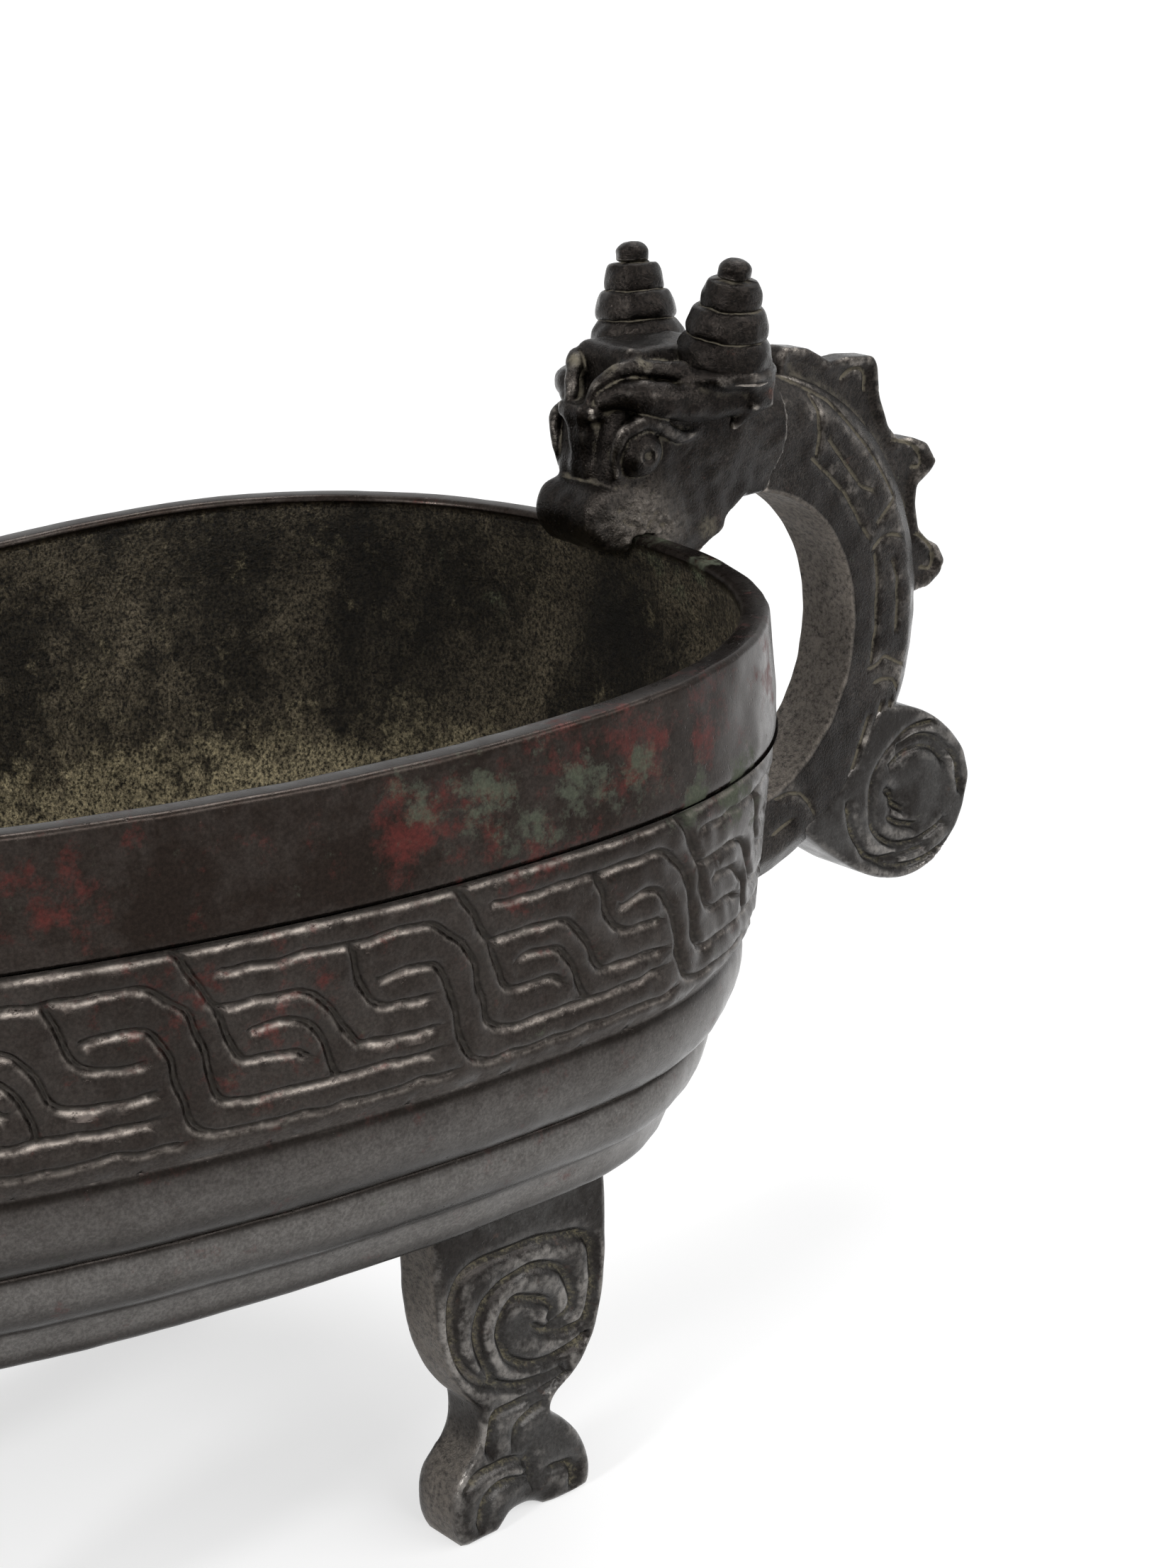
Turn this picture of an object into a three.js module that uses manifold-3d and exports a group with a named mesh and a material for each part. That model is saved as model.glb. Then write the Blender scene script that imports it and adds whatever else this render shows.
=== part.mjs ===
// A bronze ritual pouring vessel: an egg-shaped bowl with an open spout, four flat legs cast on
// over tenons, and a loop handle in the form of a horned dragon that bites the rim.
// Millimetres. +X runs to the handle, the spout points to -X, +Z is up, the feet stand on z = 0.
// Every piece is first placed from the bowl's widest station, and the group is then moved so that
// its origin lies on the floor below the middle of the overall length.
import * as THREE from "three";
import { mergeVertices } from "three/addons/utils/BufferGeometryUtils.js";
import Module from "manifold-3d";

const wasm = await Module();
wasm.setup();

const degrees = THREE.MathUtils.degToRad;

// Bowl, in plan
const mouthHalfWidth = 80;
const rearLength = 82.4; // from the widest station to the rim behind the handle
const rearRoundness = 2.32; // exponent of the rear half's oval
const sideTaper = 0.00189; // how fast the sides draw in towards the spout, per mm
const spoutLength = 196; // from the widest station to the spout's tip
const spoutHalfWidth = 28;
const spoutNeckStart = 98; // where the sides begin to turn into the spout
const spoutNeckEnd = 158;
const baseLength = 150; // how far the bowl's bottom edge reaches towards the spout

// Bowl, from the floor up
const legHeight = 66; // floor to the bowl's bottom edge
const ribRises = [9.1, 11.2, 14.7];
const bandRise = 36;
const collarRise = 21.4; // plain zone between the band and the rim
const ribInsets = [14, 9.4, 6.4];
const bandInset = 2.2; // at the band's lower edge
const bandFlare = 1.8; // the band's upper edge stands out past the mouth's outline
const ribBulge = 1.7;
const bandRelief = 0.9;
const bandBorder = 1.4;
const bottomSag = 7;
const wall = 4.5;
const rimThickening = 0.5; // the rim is this much thicker than the wall
const rimRound = 1.1;
const rimDip = 0.0271;
const rimDipStart = 40;
const rimDipLength = 183;
const spoutRise = 8;
const spoutLipDrop = 22; // how far the lip between the spout's walls lies below them
const loopSteps = 18; // points in each quarter of a level

// Legs
const legThickness = 10.9;
const legHalfWidth = 20.4;
const legInset = 6.2; // how far a leg's outer face stands inside the bowl's bottom edge
const legTopRise = 8;
const legTopWidth = 19.6; // at the thigh's back, which leans in a little
const thighRise = 48.5; // where the thigh is widest
const ankleRise = 23;
const ankleFront = 9;
const ankleBack = 7.3;
const footFront = 14.6;
const footBack = 15.6;
const soleNotch = 6; // half the length of the notch between the foot's two lobes
const rearLegX = 1.2;
const frontLegX = -114;
const legTenonLength = 20;
const legTenonWidth = 4.6;
const legTenonDepth = 12;

// Handle
const loopOut = 26.9; // from the rim behind the bowl to the loop's centre
const loopDrop = 31; // and down from the rim
const loopInner = 33.5;
const loopOuter = 52;
const loopCrown = 57;
const loopSlimming = 4.5; // how much slimmer the loop is below the tail
const loopSlimStart = -54; // degrees round the loop
const loopSlimEnd = -62;
const loopHalfWidth = 7.4;
const loopStart = degrees(81); // at the seam behind the head
const loopEnd = degrees(-153); // buried in the line of the bowl's wall
const coreInset = 4.5; // thickness of the metal between the core and the loop's inner face
const coreHeight = 9;
const coreHalfWidth = 3.6;
const coreEnd = degrees(-105);
const neckTenonLength = 8;
const lowerTenonLength = 9;
const lowerTenonWidth = 6;
const lowerTenonHeight = 5;
const crestHalfWidth = 2.9;
const crestSeat = 2.5; // depth of the groove that holds the crest
const crestFirst = 76; // the crest's front and back ends, in degrees round the loop
const crestLast = 1.3;
const tailRootFirst = degrees(-23.5); // where the tail leaves the loop's back
const tailRootLast = degrees(-65);
const tailAngle = degrees(-37.7);
const tailSpread = degrees(55); // the loop is cut out of the tail this far on either side of that
const tailSink = 8.7; // how far the scroll's circle runs into the loop's back
const tailRadius = 20.4;
const tailHalfWidth = 7.4;
const tailGrooveWidth = 2;
const tailGrooveDepth = 1.3;
const tailPegRadius = 2.6;
const tailPegLength = 5;

// Head, from the rim it bites
const snoutReach = 8.4; // middle of the snout's roll, inside the mouth
const snoutRise = 4.2;
const snoutSize = [9, 13.5, 6.7];
const snoutTilt = 19; // degrees, the front edge higher
const snoutHalfWidth = 8.2; // the roll is cut off flat at both ends
const skullHalfWidth = 10.6;
const skullSections = [
  // behind the rim, above the rim, share of the half width, half the height
  [25.6, 17.2, 0.86, 14],
  [17.6, 16.9, 1, 17.6],
  [7.6, 16.8, 1, 18.2],
  [0.6, 17, 0.98, 17.4],
  [-4.4, 19.4, 0.84, 14.4],
  [-9.4, 20.4, 0.6, 10.6],
  [-12.2, 18.6, 0.34, 6.4],
];
const jawHalfWidth = 9;
const jawDrop = 7; // how far the jaw hangs down outside the rim
const jawFoot = 12; // length of the jaw along that lower edge
const jawSlope = 14; // and from there back to the throat
const eyeRadius = 4.5;
const eyeReach = 4.3;
const eyeSpread = 7.9;
const eyeRise = 15.6;
const browRadius = 3.5;
const browRoute = [
  // behind the rim, from the middle, above the rim
  [-9.8, 3.2, 26.6],
  [-7, 6, 29.8],
  [-1.5, 9.2, 30.2],
  [8, 11, 28.4],
  [15.4, 12.6, 27],
  [21.6, 16.6, 26],
];
const hornOut = 15.4; // behind the rim
const hornSpread = 11.2;
const hornRise = 33.2; // from the rim to the horn's foot
const hornHeight = 18.5;
const hornRadii = [9.2, 8.4, 7, 5.4, 3.5];
const hornSplay = 8; // degrees
const hornSweep = 1.6; // degrees
const hornPegRadius = 2.6;
const hornPegLength = 5;

const gap = 0.3; // clearance between pieces that were cast against each other

const bandBottom = legHeight + ribRises[0] + ribRises[1] + ribRises[2];
const bandTop = bandBottom + bandRise;
const rimHeight = bandTop + collarRise;
const loopX = rearLength + loopOut;
const loopZ = rimHeight - loopDrop;
const tailReach = loopCrown + tailRadius - tailSink;
const tailX = loopX + tailReach * Math.cos(tailAngle);
const tailZ = loopZ + tailReach * Math.sin(tailAngle);

function bronze(color, roughness) {
  return new THREE.MeshStandardMaterial({ color, roughness, metalness: 0.75 });
}
const bowlBronze = bronze(0x3a322c, 0.42);
const handleBronze = bronze(0x35302b, 0.45);
const legBronze = bronze(0x3b3633, 0.5);
const coreClay = new THREE.MeshStandardMaterial({ color: 0x6b6058, roughness: 0.95 });

// Solids
function solidFrom(geometry) {
  const bare = geometry.clone();
  for (const name of Object.keys(bare.attributes)) {
    if (name !== "position") bare.deleteAttribute(name);
  }
  const merged = mergeVertices(bare, 1e-4);
  const mesh = new wasm.Mesh({
    numProp: 3,
    vertProperties: merged.attributes.position.array,
    triVerts: new Uint32Array(merged.index.array),
  });
  return new wasm.Manifold(mesh);
}

function geometryFrom(solid) {
  const mesh = solid.getMesh();
  const geometry = new THREE.BufferGeometry();
  geometry.setAttribute("position", new THREE.BufferAttribute(mesh.vertProperties, 3));
  geometry.setIndex(new THREE.BufferAttribute(mesh.triVerts, 1));
  geometry.computeVertexNormals();
  return geometry;
}

function joined(solids) {
  return solids.reduce((whole, solid) => whole.add(solid));
}

// A closed body through a row of loops with equal numbers of points, capped at both ends.
function loft(loops) {
  const count = loops[0].length;
  const points = loops.flat();
  const faces = [];
  for (let ring = 0; ring + 1 < loops.length; ring++) {
    for (let i = 0; i < count; i++) {
      const a = ring * count + i;
      const b = ring * count + ((i + 1) % count);
      faces.push(a, b, b + count, a, b + count, a + count);
    }
  }
  for (const [ring, turned] of [[0, true], [loops.length - 1, false]]) {
    const middle = new THREE.Vector3();
    for (const point of loops[ring]) middle.addScaledVector(point, 1 / count);
    points.push(middle);
    for (let i = 0; i < count; i++) {
      const a = ring * count + i;
      const b = ring * count + ((i + 1) % count);
      faces.push(points.length - 1, turned ? b : a, turned ? a : b);
    }
  }
  const geometry = new THREE.BufferGeometry().setFromPoints(points);
  geometry.setIndex(faces);
  const solid = solidFrom(geometry);
  if (solid.volume() > 0) return solid;
  geometry.setIndex(faces.reverse());
  return solidFrom(geometry);
}

// An outline drawn in X and Z, as thick as twice halfWidth in Y, with its edges rounded.
function plate(outline, halfWidth, edge = 0, curveSegments = 8) {
  const geometry = new THREE.ExtrudeGeometry(outline, {
    depth: 2 * (halfWidth - edge),
    bevelEnabled: edge > 0,
    bevelThickness: edge,
    bevelSize: edge,
    bevelOffset: -edge,
    bevelSegments: 1,
    curveSegments,
  });
  geometry.translate(0, 0, -(halfWidth - edge));
  geometry.rotateX(Math.PI / 2);
  return solidFrom(geometry);
}

function block([length, width, height], x, y, z) {
  return solidFrom(new THREE.BoxGeometry(length, width, height).translate(x, y, z));
}

function rod(radius, length, sides = 12) {
  return new THREE.CylinderGeometry(radius, radius, length, sides).rotateX(Math.PI / 2);
}

function ellipsoid([rx, ry, rz], x, y, z, detail = 10) {
  const ball = new THREE.SphereGeometry(1, detail * 2, detail);
  return solidFrom(ball.rotateX(Math.PI / 2).scale(rx, ry, rz).translate(x, y, z));
}

function onRing(radius, angle, y) {
  return new THREE.Vector3(loopX + radius * Math.cos(angle), y, loopZ + radius * Math.sin(angle));
}

function steps(from, to, count) {
  return Array.from({ length: count + 1 }, (_, i) => from + ((to - from) * i) / count);
}

// Bowl
const smooth = (t) => THREE.MathUtils.smoothstep(t, 0, 1);

// Half the width of the outline that lies inset inside the mouth's outline.
function halfWidthAt(inset, x) {
  const b = mouthHalfWidth - inset;
  if (x < 0) return b - sideTaper * x * x;
  const share = Math.min(1, x / (rearLength - inset));
  return b * (1 - share ** rearRoundness) ** (1 / rearRoundness);
}

// How far the level at height z reaches towards the spout.
function frontOf(z) {
  const rise = THREE.MathUtils.clamp((z - legHeight) / (bandTop - legHeight), 0, 1);
  return -THREE.MathUtils.lerp(baseLength, spoutLength - 7, rise ** 1.3);
}

function rimZ(x) {
  const back = Math.max(0, rimDipStart - x);
  const rise = Math.max(0, (-x - spoutNeckStart) / (spoutLength - spoutNeckStart));
  return rimHeight - rimDip * back * (1 - back / rimDipLength) + spoutRise * rise ** 2;
}

// The rim's height, which drops to the lip at the open end of the spout.
function rimAt(x, y) {
  const across = Math.min(1, Math.abs(y) / (spoutHalfWidth * 0.8));
  const tip = smooth((-x - spoutLength + 16) / 15) * (1 - across ** 3);
  return rimZ(x) - spoutLipDrop * tip;
}

// The closed outline of one level. Its front end closes round at x = front.
function planLoop(inset, front, height, spoutShare) {
  const half = [];
  for (let i = 0; i <= loopSteps; i++) {
    const t = (i / loopSteps) * (Math.PI / 2);
    const x = (rearLength - inset) * Math.cos(t) ** (2 / rearRoundness);
    half.push([x, (mouthHalfWidth - inset) * Math.sin(t) ** (2 / rearRoundness)]);
  }
  for (let i = 1; i < loopSteps; i++) {
    const u = Math.sin((i / loopSteps) * (Math.PI / 2));
    const x = front * u;
    const neck = spoutShare * smooth((-x - spoutNeckStart) / (spoutNeckEnd - spoutNeckStart));
    const side = THREE.MathUtils.lerp(halfWidthAt(inset, x), spoutHalfWidth - inset, neck);
    half.push([x, side * Math.sqrt(1 - u ** (10 + 12 * spoutShare))]);
  }
  half.push([front, 0]);
  const mirrored = half.slice(1, -1).reverse().map(([x, y]) => [x, -y]);
  return [...half, ...mirrored].map(([x, y]) => new THREE.Vector3(x, y, height(x, y)));
}

function level(z, inset) {
  const share = smooth((z - legHeight) / (bandTop - legHeight));
  return planLoop(inset, frontOf(z) + inset * 0.5, () => z, share);
}

function between(low, high, share) {
  return low.map((point, i) => point.clone().lerp(high[i], share));
}

// The bowl's outside from its sagging bottom to the rim, grown by a clearance.
function outerLoops(clearance) {
  const grown = (z, inset) => level(z, inset - clearance);
  const loops = [
    grown(legHeight - bottomSag - clearance, ribInsets[0] + 30),
    grown(legHeight - bottomSag * 0.6 - clearance, ribInsets[0] + 8),
  ];
  let foot = legHeight;
  ribRises.forEach((rise, rib) => {
    const low = ribInsets[rib];
    const high = ribInsets[rib + 1] ?? bandInset;
    for (const share of [0, 0.2, 0.5, 0.8]) {
      const bulge = ribBulge * Math.sin(Math.PI * share) ** 0.6;
      loops.push(grown(foot + rise * share, THREE.MathUtils.lerp(low, high, share) - bulge));
    }
    foot += rise;
  });
  loops.push(grown(bandBottom, bandInset));
  loops.push(grown(bandBottom + bandBorder, bandInset - bandRelief));
  loops.push(grown(bandTop - bandBorder, bandRelief - bandFlare));
  loops.push(grown(bandTop, -bandFlare));
  const rim = planLoop(-clearance, -spoutLength - clearance, (x, y) => rimAt(x, y) - rimRound, 1);
  loops.push(between(loops[loops.length - 1], rim, 0.5), rim);
  loops.push(planLoop(rimRound - clearance, -spoutLength + rimRound, (x, y) => rimAt(x, y) + clearance, 1));
  return loops;
}

// The bowl's inside from the rim down to its floor, drawn in by a clearance.
function innerLoops(clearance) {
  const inset = wall + clearance;
  const rim = planLoop(inset + rimThickening, -spoutLength + inset, (x, y) => rimAt(x, y) - rimRound, 1);
  const shoulder = level(bandTop + 4, inset - bandFlare);
  const band = level(bandBottom + 4, inset + bandInset);
  const low = level(legHeight + ribRises[0] + 3, inset + ribInsets[1] + 1);
  const floorEdge = level(legHeight + inset - 0.5, inset + ribInsets[0] + 6);
  const floor = level(legHeight - bottomSag + inset, inset + ribInsets[0] + 30);
  return [rim, between(shoulder, rim, 0.5), shoulder, band, low, floorEdge, floor];
}

// What is cast against the bowl is cut back with its outside, grown by the gap.
const envelope = loft(outerLoops(gap));

// The space that the wall takes up, grown by the gap, for the jaw that bites the rim.
function rimSlot() {
  const loops = innerLoops(gap);
  const above = loops[0].map((point) => point.clone().setZ(rimHeight + 2 * collarRise));
  return envelope.subtract(loft([above, ...loops]));
}

function legPlace(name, x, side) {
  const slope = x < 0 ? Math.atan(-2 * sideTaper * x) : 0;
  const inwards = (legInset + legThickness / 2) / Math.cos(slope);
  return { name, x, y: side * (halfWidthAt(ribInsets[0], x) - inwards), turn: side * slope };
}

const legPlaces = [
  legPlace("leg_rear_right", rearLegX, -1),
  legPlace("leg_rear_left", rearLegX, 1),
  legPlace("leg_front_right", frontLegX, -1),
  legPlace("leg_front_left", frontLegX, 1),
];

function placedLike(leg, solid) {
  return solid.rotate([0, 0, THREE.MathUtils.radToDeg(leg.turn)]).translate([leg.x, leg.y, 0]);
}

function legTenonSolid(grow) {
  const size = [legTenonLength + 2 * grow, legTenonWidth + 2 * grow, legTenonDepth + grow];
  return block(size, 0, 0, legHeight - 1 - (legTenonDepth + grow) / 2);
}

// The stub that stands out from the bowl's rear wall into the handle's lower end.
function lowerTenonSolid(grow) {
  const size = [lowerTenonLength + 2 * grow, lowerTenonWidth + 2 * grow, lowerTenonHeight + 2 * grow];
  const wallX = rearLength - ribInsets[2] / 2;
  const radius = (loopInner + loopOuter) / 2;
  const z = loopZ - Math.sqrt(radius ** 2 - (loopX - wallX) ** 2);
  return block(size, wallX - 1.6 + lowerTenonLength / 2, 0, z);
}

function makeBowl() {
  const inset = wall + rimThickening - rimRound;
  const lip = planLoop(inset, -spoutLength + inset, rimAt, 1);
  const shell = loft([...outerLoops(0), lip, ...innerLoops(0)]);
  const tenons = legPlaces.map((leg) => placedLike(leg, legTenonSolid(0)));
  return joined([shell, ...tenons, lowerTenonSolid(0)]);
}

// Legs: a broad plate that narrows to an ankle and spreads into a foot with two curled lobes.
function legOutline() {
  const top = legHeight + legTopRise;
  const heel = ankleRise * 0.75;
  const shape = new THREE.Shape();
  shape.moveTo(-footFront, 0);
  shape.lineTo(-soleNotch - 1, 0);
  shape.quadraticCurveTo(-1, ankleRise / 6, soleNotch - 1, 0);
  shape.lineTo(footBack, 0);
  shape.bezierCurveTo(footBack + 1.6, heel * 0.4, footBack - 2.8, heel * 0.8, ankleBack + 1.1, heel);
  shape.quadraticCurveTo(ankleBack - 2.8, heel + 3, ankleBack + 2.9, ankleRise);
  const calf = [footBack + 1.9, ankleRise + 3.5];
  shape.bezierCurveTo(...calf, legHalfWidth, thighRise - 12.5, legHalfWidth, thighRise - 1.5);
  shape.lineTo(legHalfWidth, top);
  shape.lineTo(-legHalfWidth, top);
  shape.lineTo(-legTopWidth, thighRise + 1.5);
  const shin = [-ankleFront - 0.8, ankleRise + 3.2];
  shape.bezierCurveTo(-legTopWidth + 0.6, thighRise - 9.5, -footFront, thighRise - 17.5, ...shin);
  shape.quadraticCurveTo(-ankleFront + 0.1, ankleRise - 2.5, -ankleFront - 2.3, heel);
  shape.bezierCurveTo(-footFront - 2.6, heel - 4, -footFront - 2.9, heel * 0.3, -footFront, 0);
  return shape;
}

function makeLeg(leg) {
  const body = placedLike(leg, plate(legOutline(), legThickness / 2, 1, 5));
  return body.subtract(envelope).subtract(placedLike(leg, legTenonSolid(gap)));
}

const loopAngles = steps(loopStart, loopEnd, 30);

// Handle loop: flat inside, with straight sides and a back that rises to a crown.
function loopSection(angle, grow = 0) {
  const turn = THREE.MathUtils.radToDeg(angle);
  const slimmer = loopSlimming * smooth((loopSlimStart - turn) / (loopSlimStart - loopSlimEnd));
  const wide = loopHalfWidth + grow;
  const back = loopCrown - slimmer + grow;
  const edge = loopOuter - slimmer;
  const section = [
    [loopInner - grow, -wide], [loopInner - grow, wide], [edge - 1, wide],
    [edge + 2.5 + grow, wide - 2.6], [back, crestHalfWidth], [back, -crestHalfWidth],
    [edge + 2.5 + grow, -wide + 2.6], [edge - 1, -wide],
  ];
  return section.map(([radius, y]) => onRing(radius, angle, y));
}

// A curved bar inside the loop, from one angle to another, where the metal is hollow.
function coreBar(from, to, grow) {
  const [inner, outer] = [loopInner + coreInset - grow, loopInner + coreInset + coreHeight + grow];
  const wide = coreHalfWidth + grow;
  const section = (angle) => [
    onRing(inner, angle, -wide), onRing(inner, angle, wide),
    onRing(outer, angle, wide), onRing(outer, angle, -wide),
  ];
  return loft(steps(from, to, Math.max(2, Math.round((from - to) / 0.15))).map(section));
}

const tenonAngle = neckTenonLength / (loopInner + coreInset);
const gapAngle = gap / loopInner;

function makeCore() {
  return coreBar(loopStart - tenonAngle - gapAngle, coreEnd, 0);
}

function neckTenonSolid() {
  return coreBar(loopStart + tenonAngle, loopStart - tenonAngle, 0);
}

function tailPegSolid(grow) {
  const peg = rod(tailPegRadius + grow, 2 * (tailPegLength + grow)).rotateX(Math.PI / 2);
  peg.rotateZ(Math.PI / 2).rotateY(-tailAngle);
  const middle = onRing(loopCrown, tailAngle, 0);
  return solidFrom(peg).translate([middle.x, 0, middle.z]);
}

function makeLoop() {
  const body = loft(loopAngles.map((angle) => loopSection(angle)));
  return body
    .subtract(coreBar(loopStart + tenonAngle, coreEnd - gapAngle, gap))
    .subtract(crestSolid(gap))
    .subtract(tailPegSolid(gap))
    .subtract(envelope)
    .subtract(lowerTenonSolid(gap));
}

// Crest: a thin fin along the loop's back, with a peaked front and two curled hooks.
function crestSolid(grow) {
  const at = (rise, angle) => {
    const { x, z } = onRing(loopCrown + rise, degrees(angle), 0);
    return [x, z];
  };
  const seat = -crestSeat - grow;
  const shape = new THREE.Shape();
  shape.moveTo(...at(seat, crestFirst));
  shape.lineTo(...at(3.5, crestFirst));
  shape.quadraticCurveTo(...at(6, 74), ...at(6.3, 69));
  shape.quadraticCurveTo(...at(5.4, 62), ...at(9, 57.7));
  shape.lineTo(...at(12.7, 51.9));
  shape.lineTo(...at(11.9, 50.1));
  shape.quadraticCurveTo(...at(5.2, 44), ...at(5.6, 36.5));
  shape.bezierCurveTo(...at(9, 34), ...at(15.8, 29), ...at(13.2, 23.8));
  shape.quadraticCurveTo(...at(9.5, 22.6), ...at(6.3, 23.2));
  shape.quadraticCurveTo(...at(3.8, 18), ...at(4.3, 14.4));
  shape.bezierCurveTo(...at(8.5, 12.2), ...at(14.8, 8), ...at(10.8, 3.2));
  shape.quadraticCurveTo(...at(6.5, 1), ...at(1, crestLast));
  shape.lineTo(...at(seat, crestLast));
  for (const angle of steps(crestLast, crestFirst, 14).slice(1, -1)) shape.lineTo(...at(seat, angle));
  return plate(shape, crestHalfWidth + grow, grow > 0 ? 0 : 0.8, 4);
}

// Tail: the end of the dragon's body, which leaves the loop's back and rolls up into a scroll.
function tailOutline() {
  const shape = new THREE.Shape();
  const root = onRing(loopOuter - 3, tailRootLast, 0);
  const top = onRing(loopOuter + 1, tailRootFirst, 0);
  const bottom = degrees(-125);
  const at = (right, up) => [tailX + right * tailRadius, tailZ + up * tailRadius];
  shape.moveTo(root.x, root.z);
  shape.lineTo(...at(Math.cos(bottom), Math.sin(bottom)));
  shape.absarc(tailX, tailZ, tailRadius, bottom, 0);
  shape.bezierCurveTo(...at(0.98, 0.35), ...at(0.5, 0.85), top.x, top.z);
  return shape;
}

function tailGroove(y) {
  const [out, deep] = [tailGrooveWidth / 2, tailGrooveDepth];
  const section = [[-out, y - deep], [out, y - deep], [out, y + deep], [-out, y + deep]];
  const loops = steps(0, 1, 36).map((turn) => {
    const angle = degrees(200) + turn * degrees(620);
    const radius = tailRadius * (0.8 - 0.6 * turn);
    return section.map(([offset, side]) => new THREE.Vector3(
      tailX + (radius + offset) * Math.cos(angle), side, tailZ + (radius + offset) * Math.sin(angle)));
  });
  return loft(loops);
}

function makeTail() {
  const beside = loopAngles.filter((angle) => Math.abs(angle - tailAngle) < tailSpread);
  const ring = loft(beside.map((angle) => loopSection(angle, gap)));
  return plate(tailOutline(), tailHalfWidth, 1.2, 28)
    .subtract(tailGroove(-tailHalfWidth))
    .subtract(tailGroove(tailHalfWidth))
    .subtract(ring)
    .add(tailPegSolid(0));
}

// Horns: stepped coils that end in a knob, each held by a peg in the skull.
function hornPlaced(solid, side) {
  const upright = solid.rotate([-side * hornSplay, hornSweep, 0]);
  return upright.translate([rearLength + hornOut, side * hornSpread, rimHeight + hornRise]);
}

function makeHorn(side) {
  const tier = hornHeight / hornRadii.length;
  const profile = [new THREE.Vector2(0, 0)];
  hornRadii.forEach((radius, i) => {
    profile.push(new THREE.Vector2(radius * 0.86, i * tier));
    profile.push(new THREE.Vector2(radius, (i + 0.35) * tier));
    profile.push(new THREE.Vector2(radius * 0.93, (i + 0.75) * tier));
  });
  profile.push(new THREE.Vector2(0, hornHeight));
  const coils = solidFrom(new THREE.LatheGeometry(profile, 24).rotateX(Math.PI / 2));
  const peg = solidFrom(rod(hornPegRadius, 2 * hornPegLength));
  return hornPlaced(coils.add(peg), side);
}

function hornSeat(side) {
  const seat = solidFrom(rod(hornRadii[0] + gap, 12, 24)).translate([0, 0, 6 - gap]);
  const hole = solidFrom(rod(hornPegRadius + gap, 2 * (hornPegLength + gap)));
  return hornPlaced(seat.add(hole), side);
}

function hornBoss(side) {
  return hornPlaced(solidFrom(rod(hornRadii[0] + 0.8, 12, 24)).translate([0, 0, -5.2]), side);
}

// Head
function ovalSection(x, z, halfWidth, halfHeight, tilt = 0) {
  return steps(0, 2 * Math.PI, 20).slice(0, -1).map((t) => {
    const across = Math.sign(Math.cos(t)) * Math.abs(Math.cos(t)) ** 0.8 * halfWidth;
    const up = Math.sign(Math.sin(t)) * Math.abs(Math.sin(t)) ** 0.8 * halfHeight;
    return new THREE.Vector3(x - up * Math.sin(tilt), across, z + up * Math.cos(tilt));
  });
}

function skull() {
  const neck = onRing((loopInner + loopCrown) / 2, loopStart + gapAngle, 0);
  const neckHalfHeight = (loopCrown - loopInner) / 2;
  const sections = skullSections.map(([behindRim, aboveRim, width, halfHeight]) =>
    ovalSection(rearLength + behindRim, rimHeight + aboveRim, width * skullHalfWidth, halfHeight));
  const seam = ovalSection(neck.x, neck.z, loopHalfWidth + 0.8, neckHalfHeight, loopStart - Math.PI / 2);
  return loft([seam, ...sections]);
}

// A thick roll from the top of the nose, out over the eye and back to the tip of the ear.
function brow(side) {
  const route = new THREE.CatmullRomCurve3(browRoute.map(([behindRim, y, aboveRim]) =>
    new THREE.Vector3(rearLength + behindRim, side * y, rimHeight + aboveRim)));
  const points = route.getPoints(12);
  const loops = points.map((point, i) => {
    const size = browRadius * (0.55 + 0.45 * Math.sin(((i + 1) / (points.length + 1)) * Math.PI));
    const ahead = route.getTangent(i / (points.length - 1));
    const across = new THREE.Vector3(-ahead.y, ahead.x, 0).normalize();
    return steps(0, 2 * Math.PI, 8).slice(0, -1).map((t) => {
      const out = point.clone().addScaledVector(across, size * Math.cos(t));
      return out.setZ(point.z + size * Math.sin(t));
    });
  });
  return loft(loops);
}

// What lies behind the seam belongs to the loop, so the head is cut off there.
function behindSeam() {
  const size = 80;
  const cutter = block([size, size, size], size / 2, 0, 0);
  const turned = cutter.rotate([0, THREE.MathUtils.radToDeg(Math.PI / 2 - loopStart), 0]);
  const seam = onRing((loopInner + loopCrown) / 2, loopStart + gapAngle, 0);
  return turned.translate([seam.x, 0, seam.z]);
}

// The lower jaw, drawn from the side: it hangs over the rim and runs back into the throat.
function jaw() {
  const shape = new THREE.Shape();
  const floor = rimHeight - jawDrop;
  shape.moveTo(rearLength - wall / 2, rimHeight + snoutRise);
  shape.lineTo(rearLength - wall / 2, floor);
  shape.lineTo(rearLength + jawFoot, floor);
  shape.quadraticCurveTo(rearLength + jawFoot + 6, floor + 7, rearLength + jawFoot + jawSlope, floor + 11);
  shape.lineTo(rearLength + jawFoot + jawSlope, rimHeight + snoutRise + 8);
  return plate(shape, jawHalfWidth, 2, 4);
}

function makeHead() {
  const roll = ellipsoid(snoutSize, 0, 0, 0)
    .rotate([0, snoutTilt, 0])
    .intersect(block([60, 2 * snoutHalfWidth, 60], 0, 0, 0))
    .translate([rearLength - snoutReach, 0, rimHeight + snoutRise]);
  const eyes = [-1, 1].map((side) => ellipsoid([eyeRadius, eyeRadius, eyeRadius],
    rearLength - eyeReach, side * eyeSpread, rimHeight + eyeRise, 7));
  return joined([skull(), roll, jaw(), ...eyes, brow(-1), brow(1), hornBoss(-1), hornBoss(1)])
    .subtract(rimSlot())
    .subtract(hornSeat(-1))
    .subtract(hornSeat(1))
    .subtract(behindSeam())
    .add(neckTenonSolid());
}

// Assembly
const vessel = new THREE.Group();

function place(name, solid, material) {
  const mesh = new THREE.Mesh(geometryFrom(solid), material);
  mesh.name = name;
  vessel.add(mesh);
}

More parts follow.
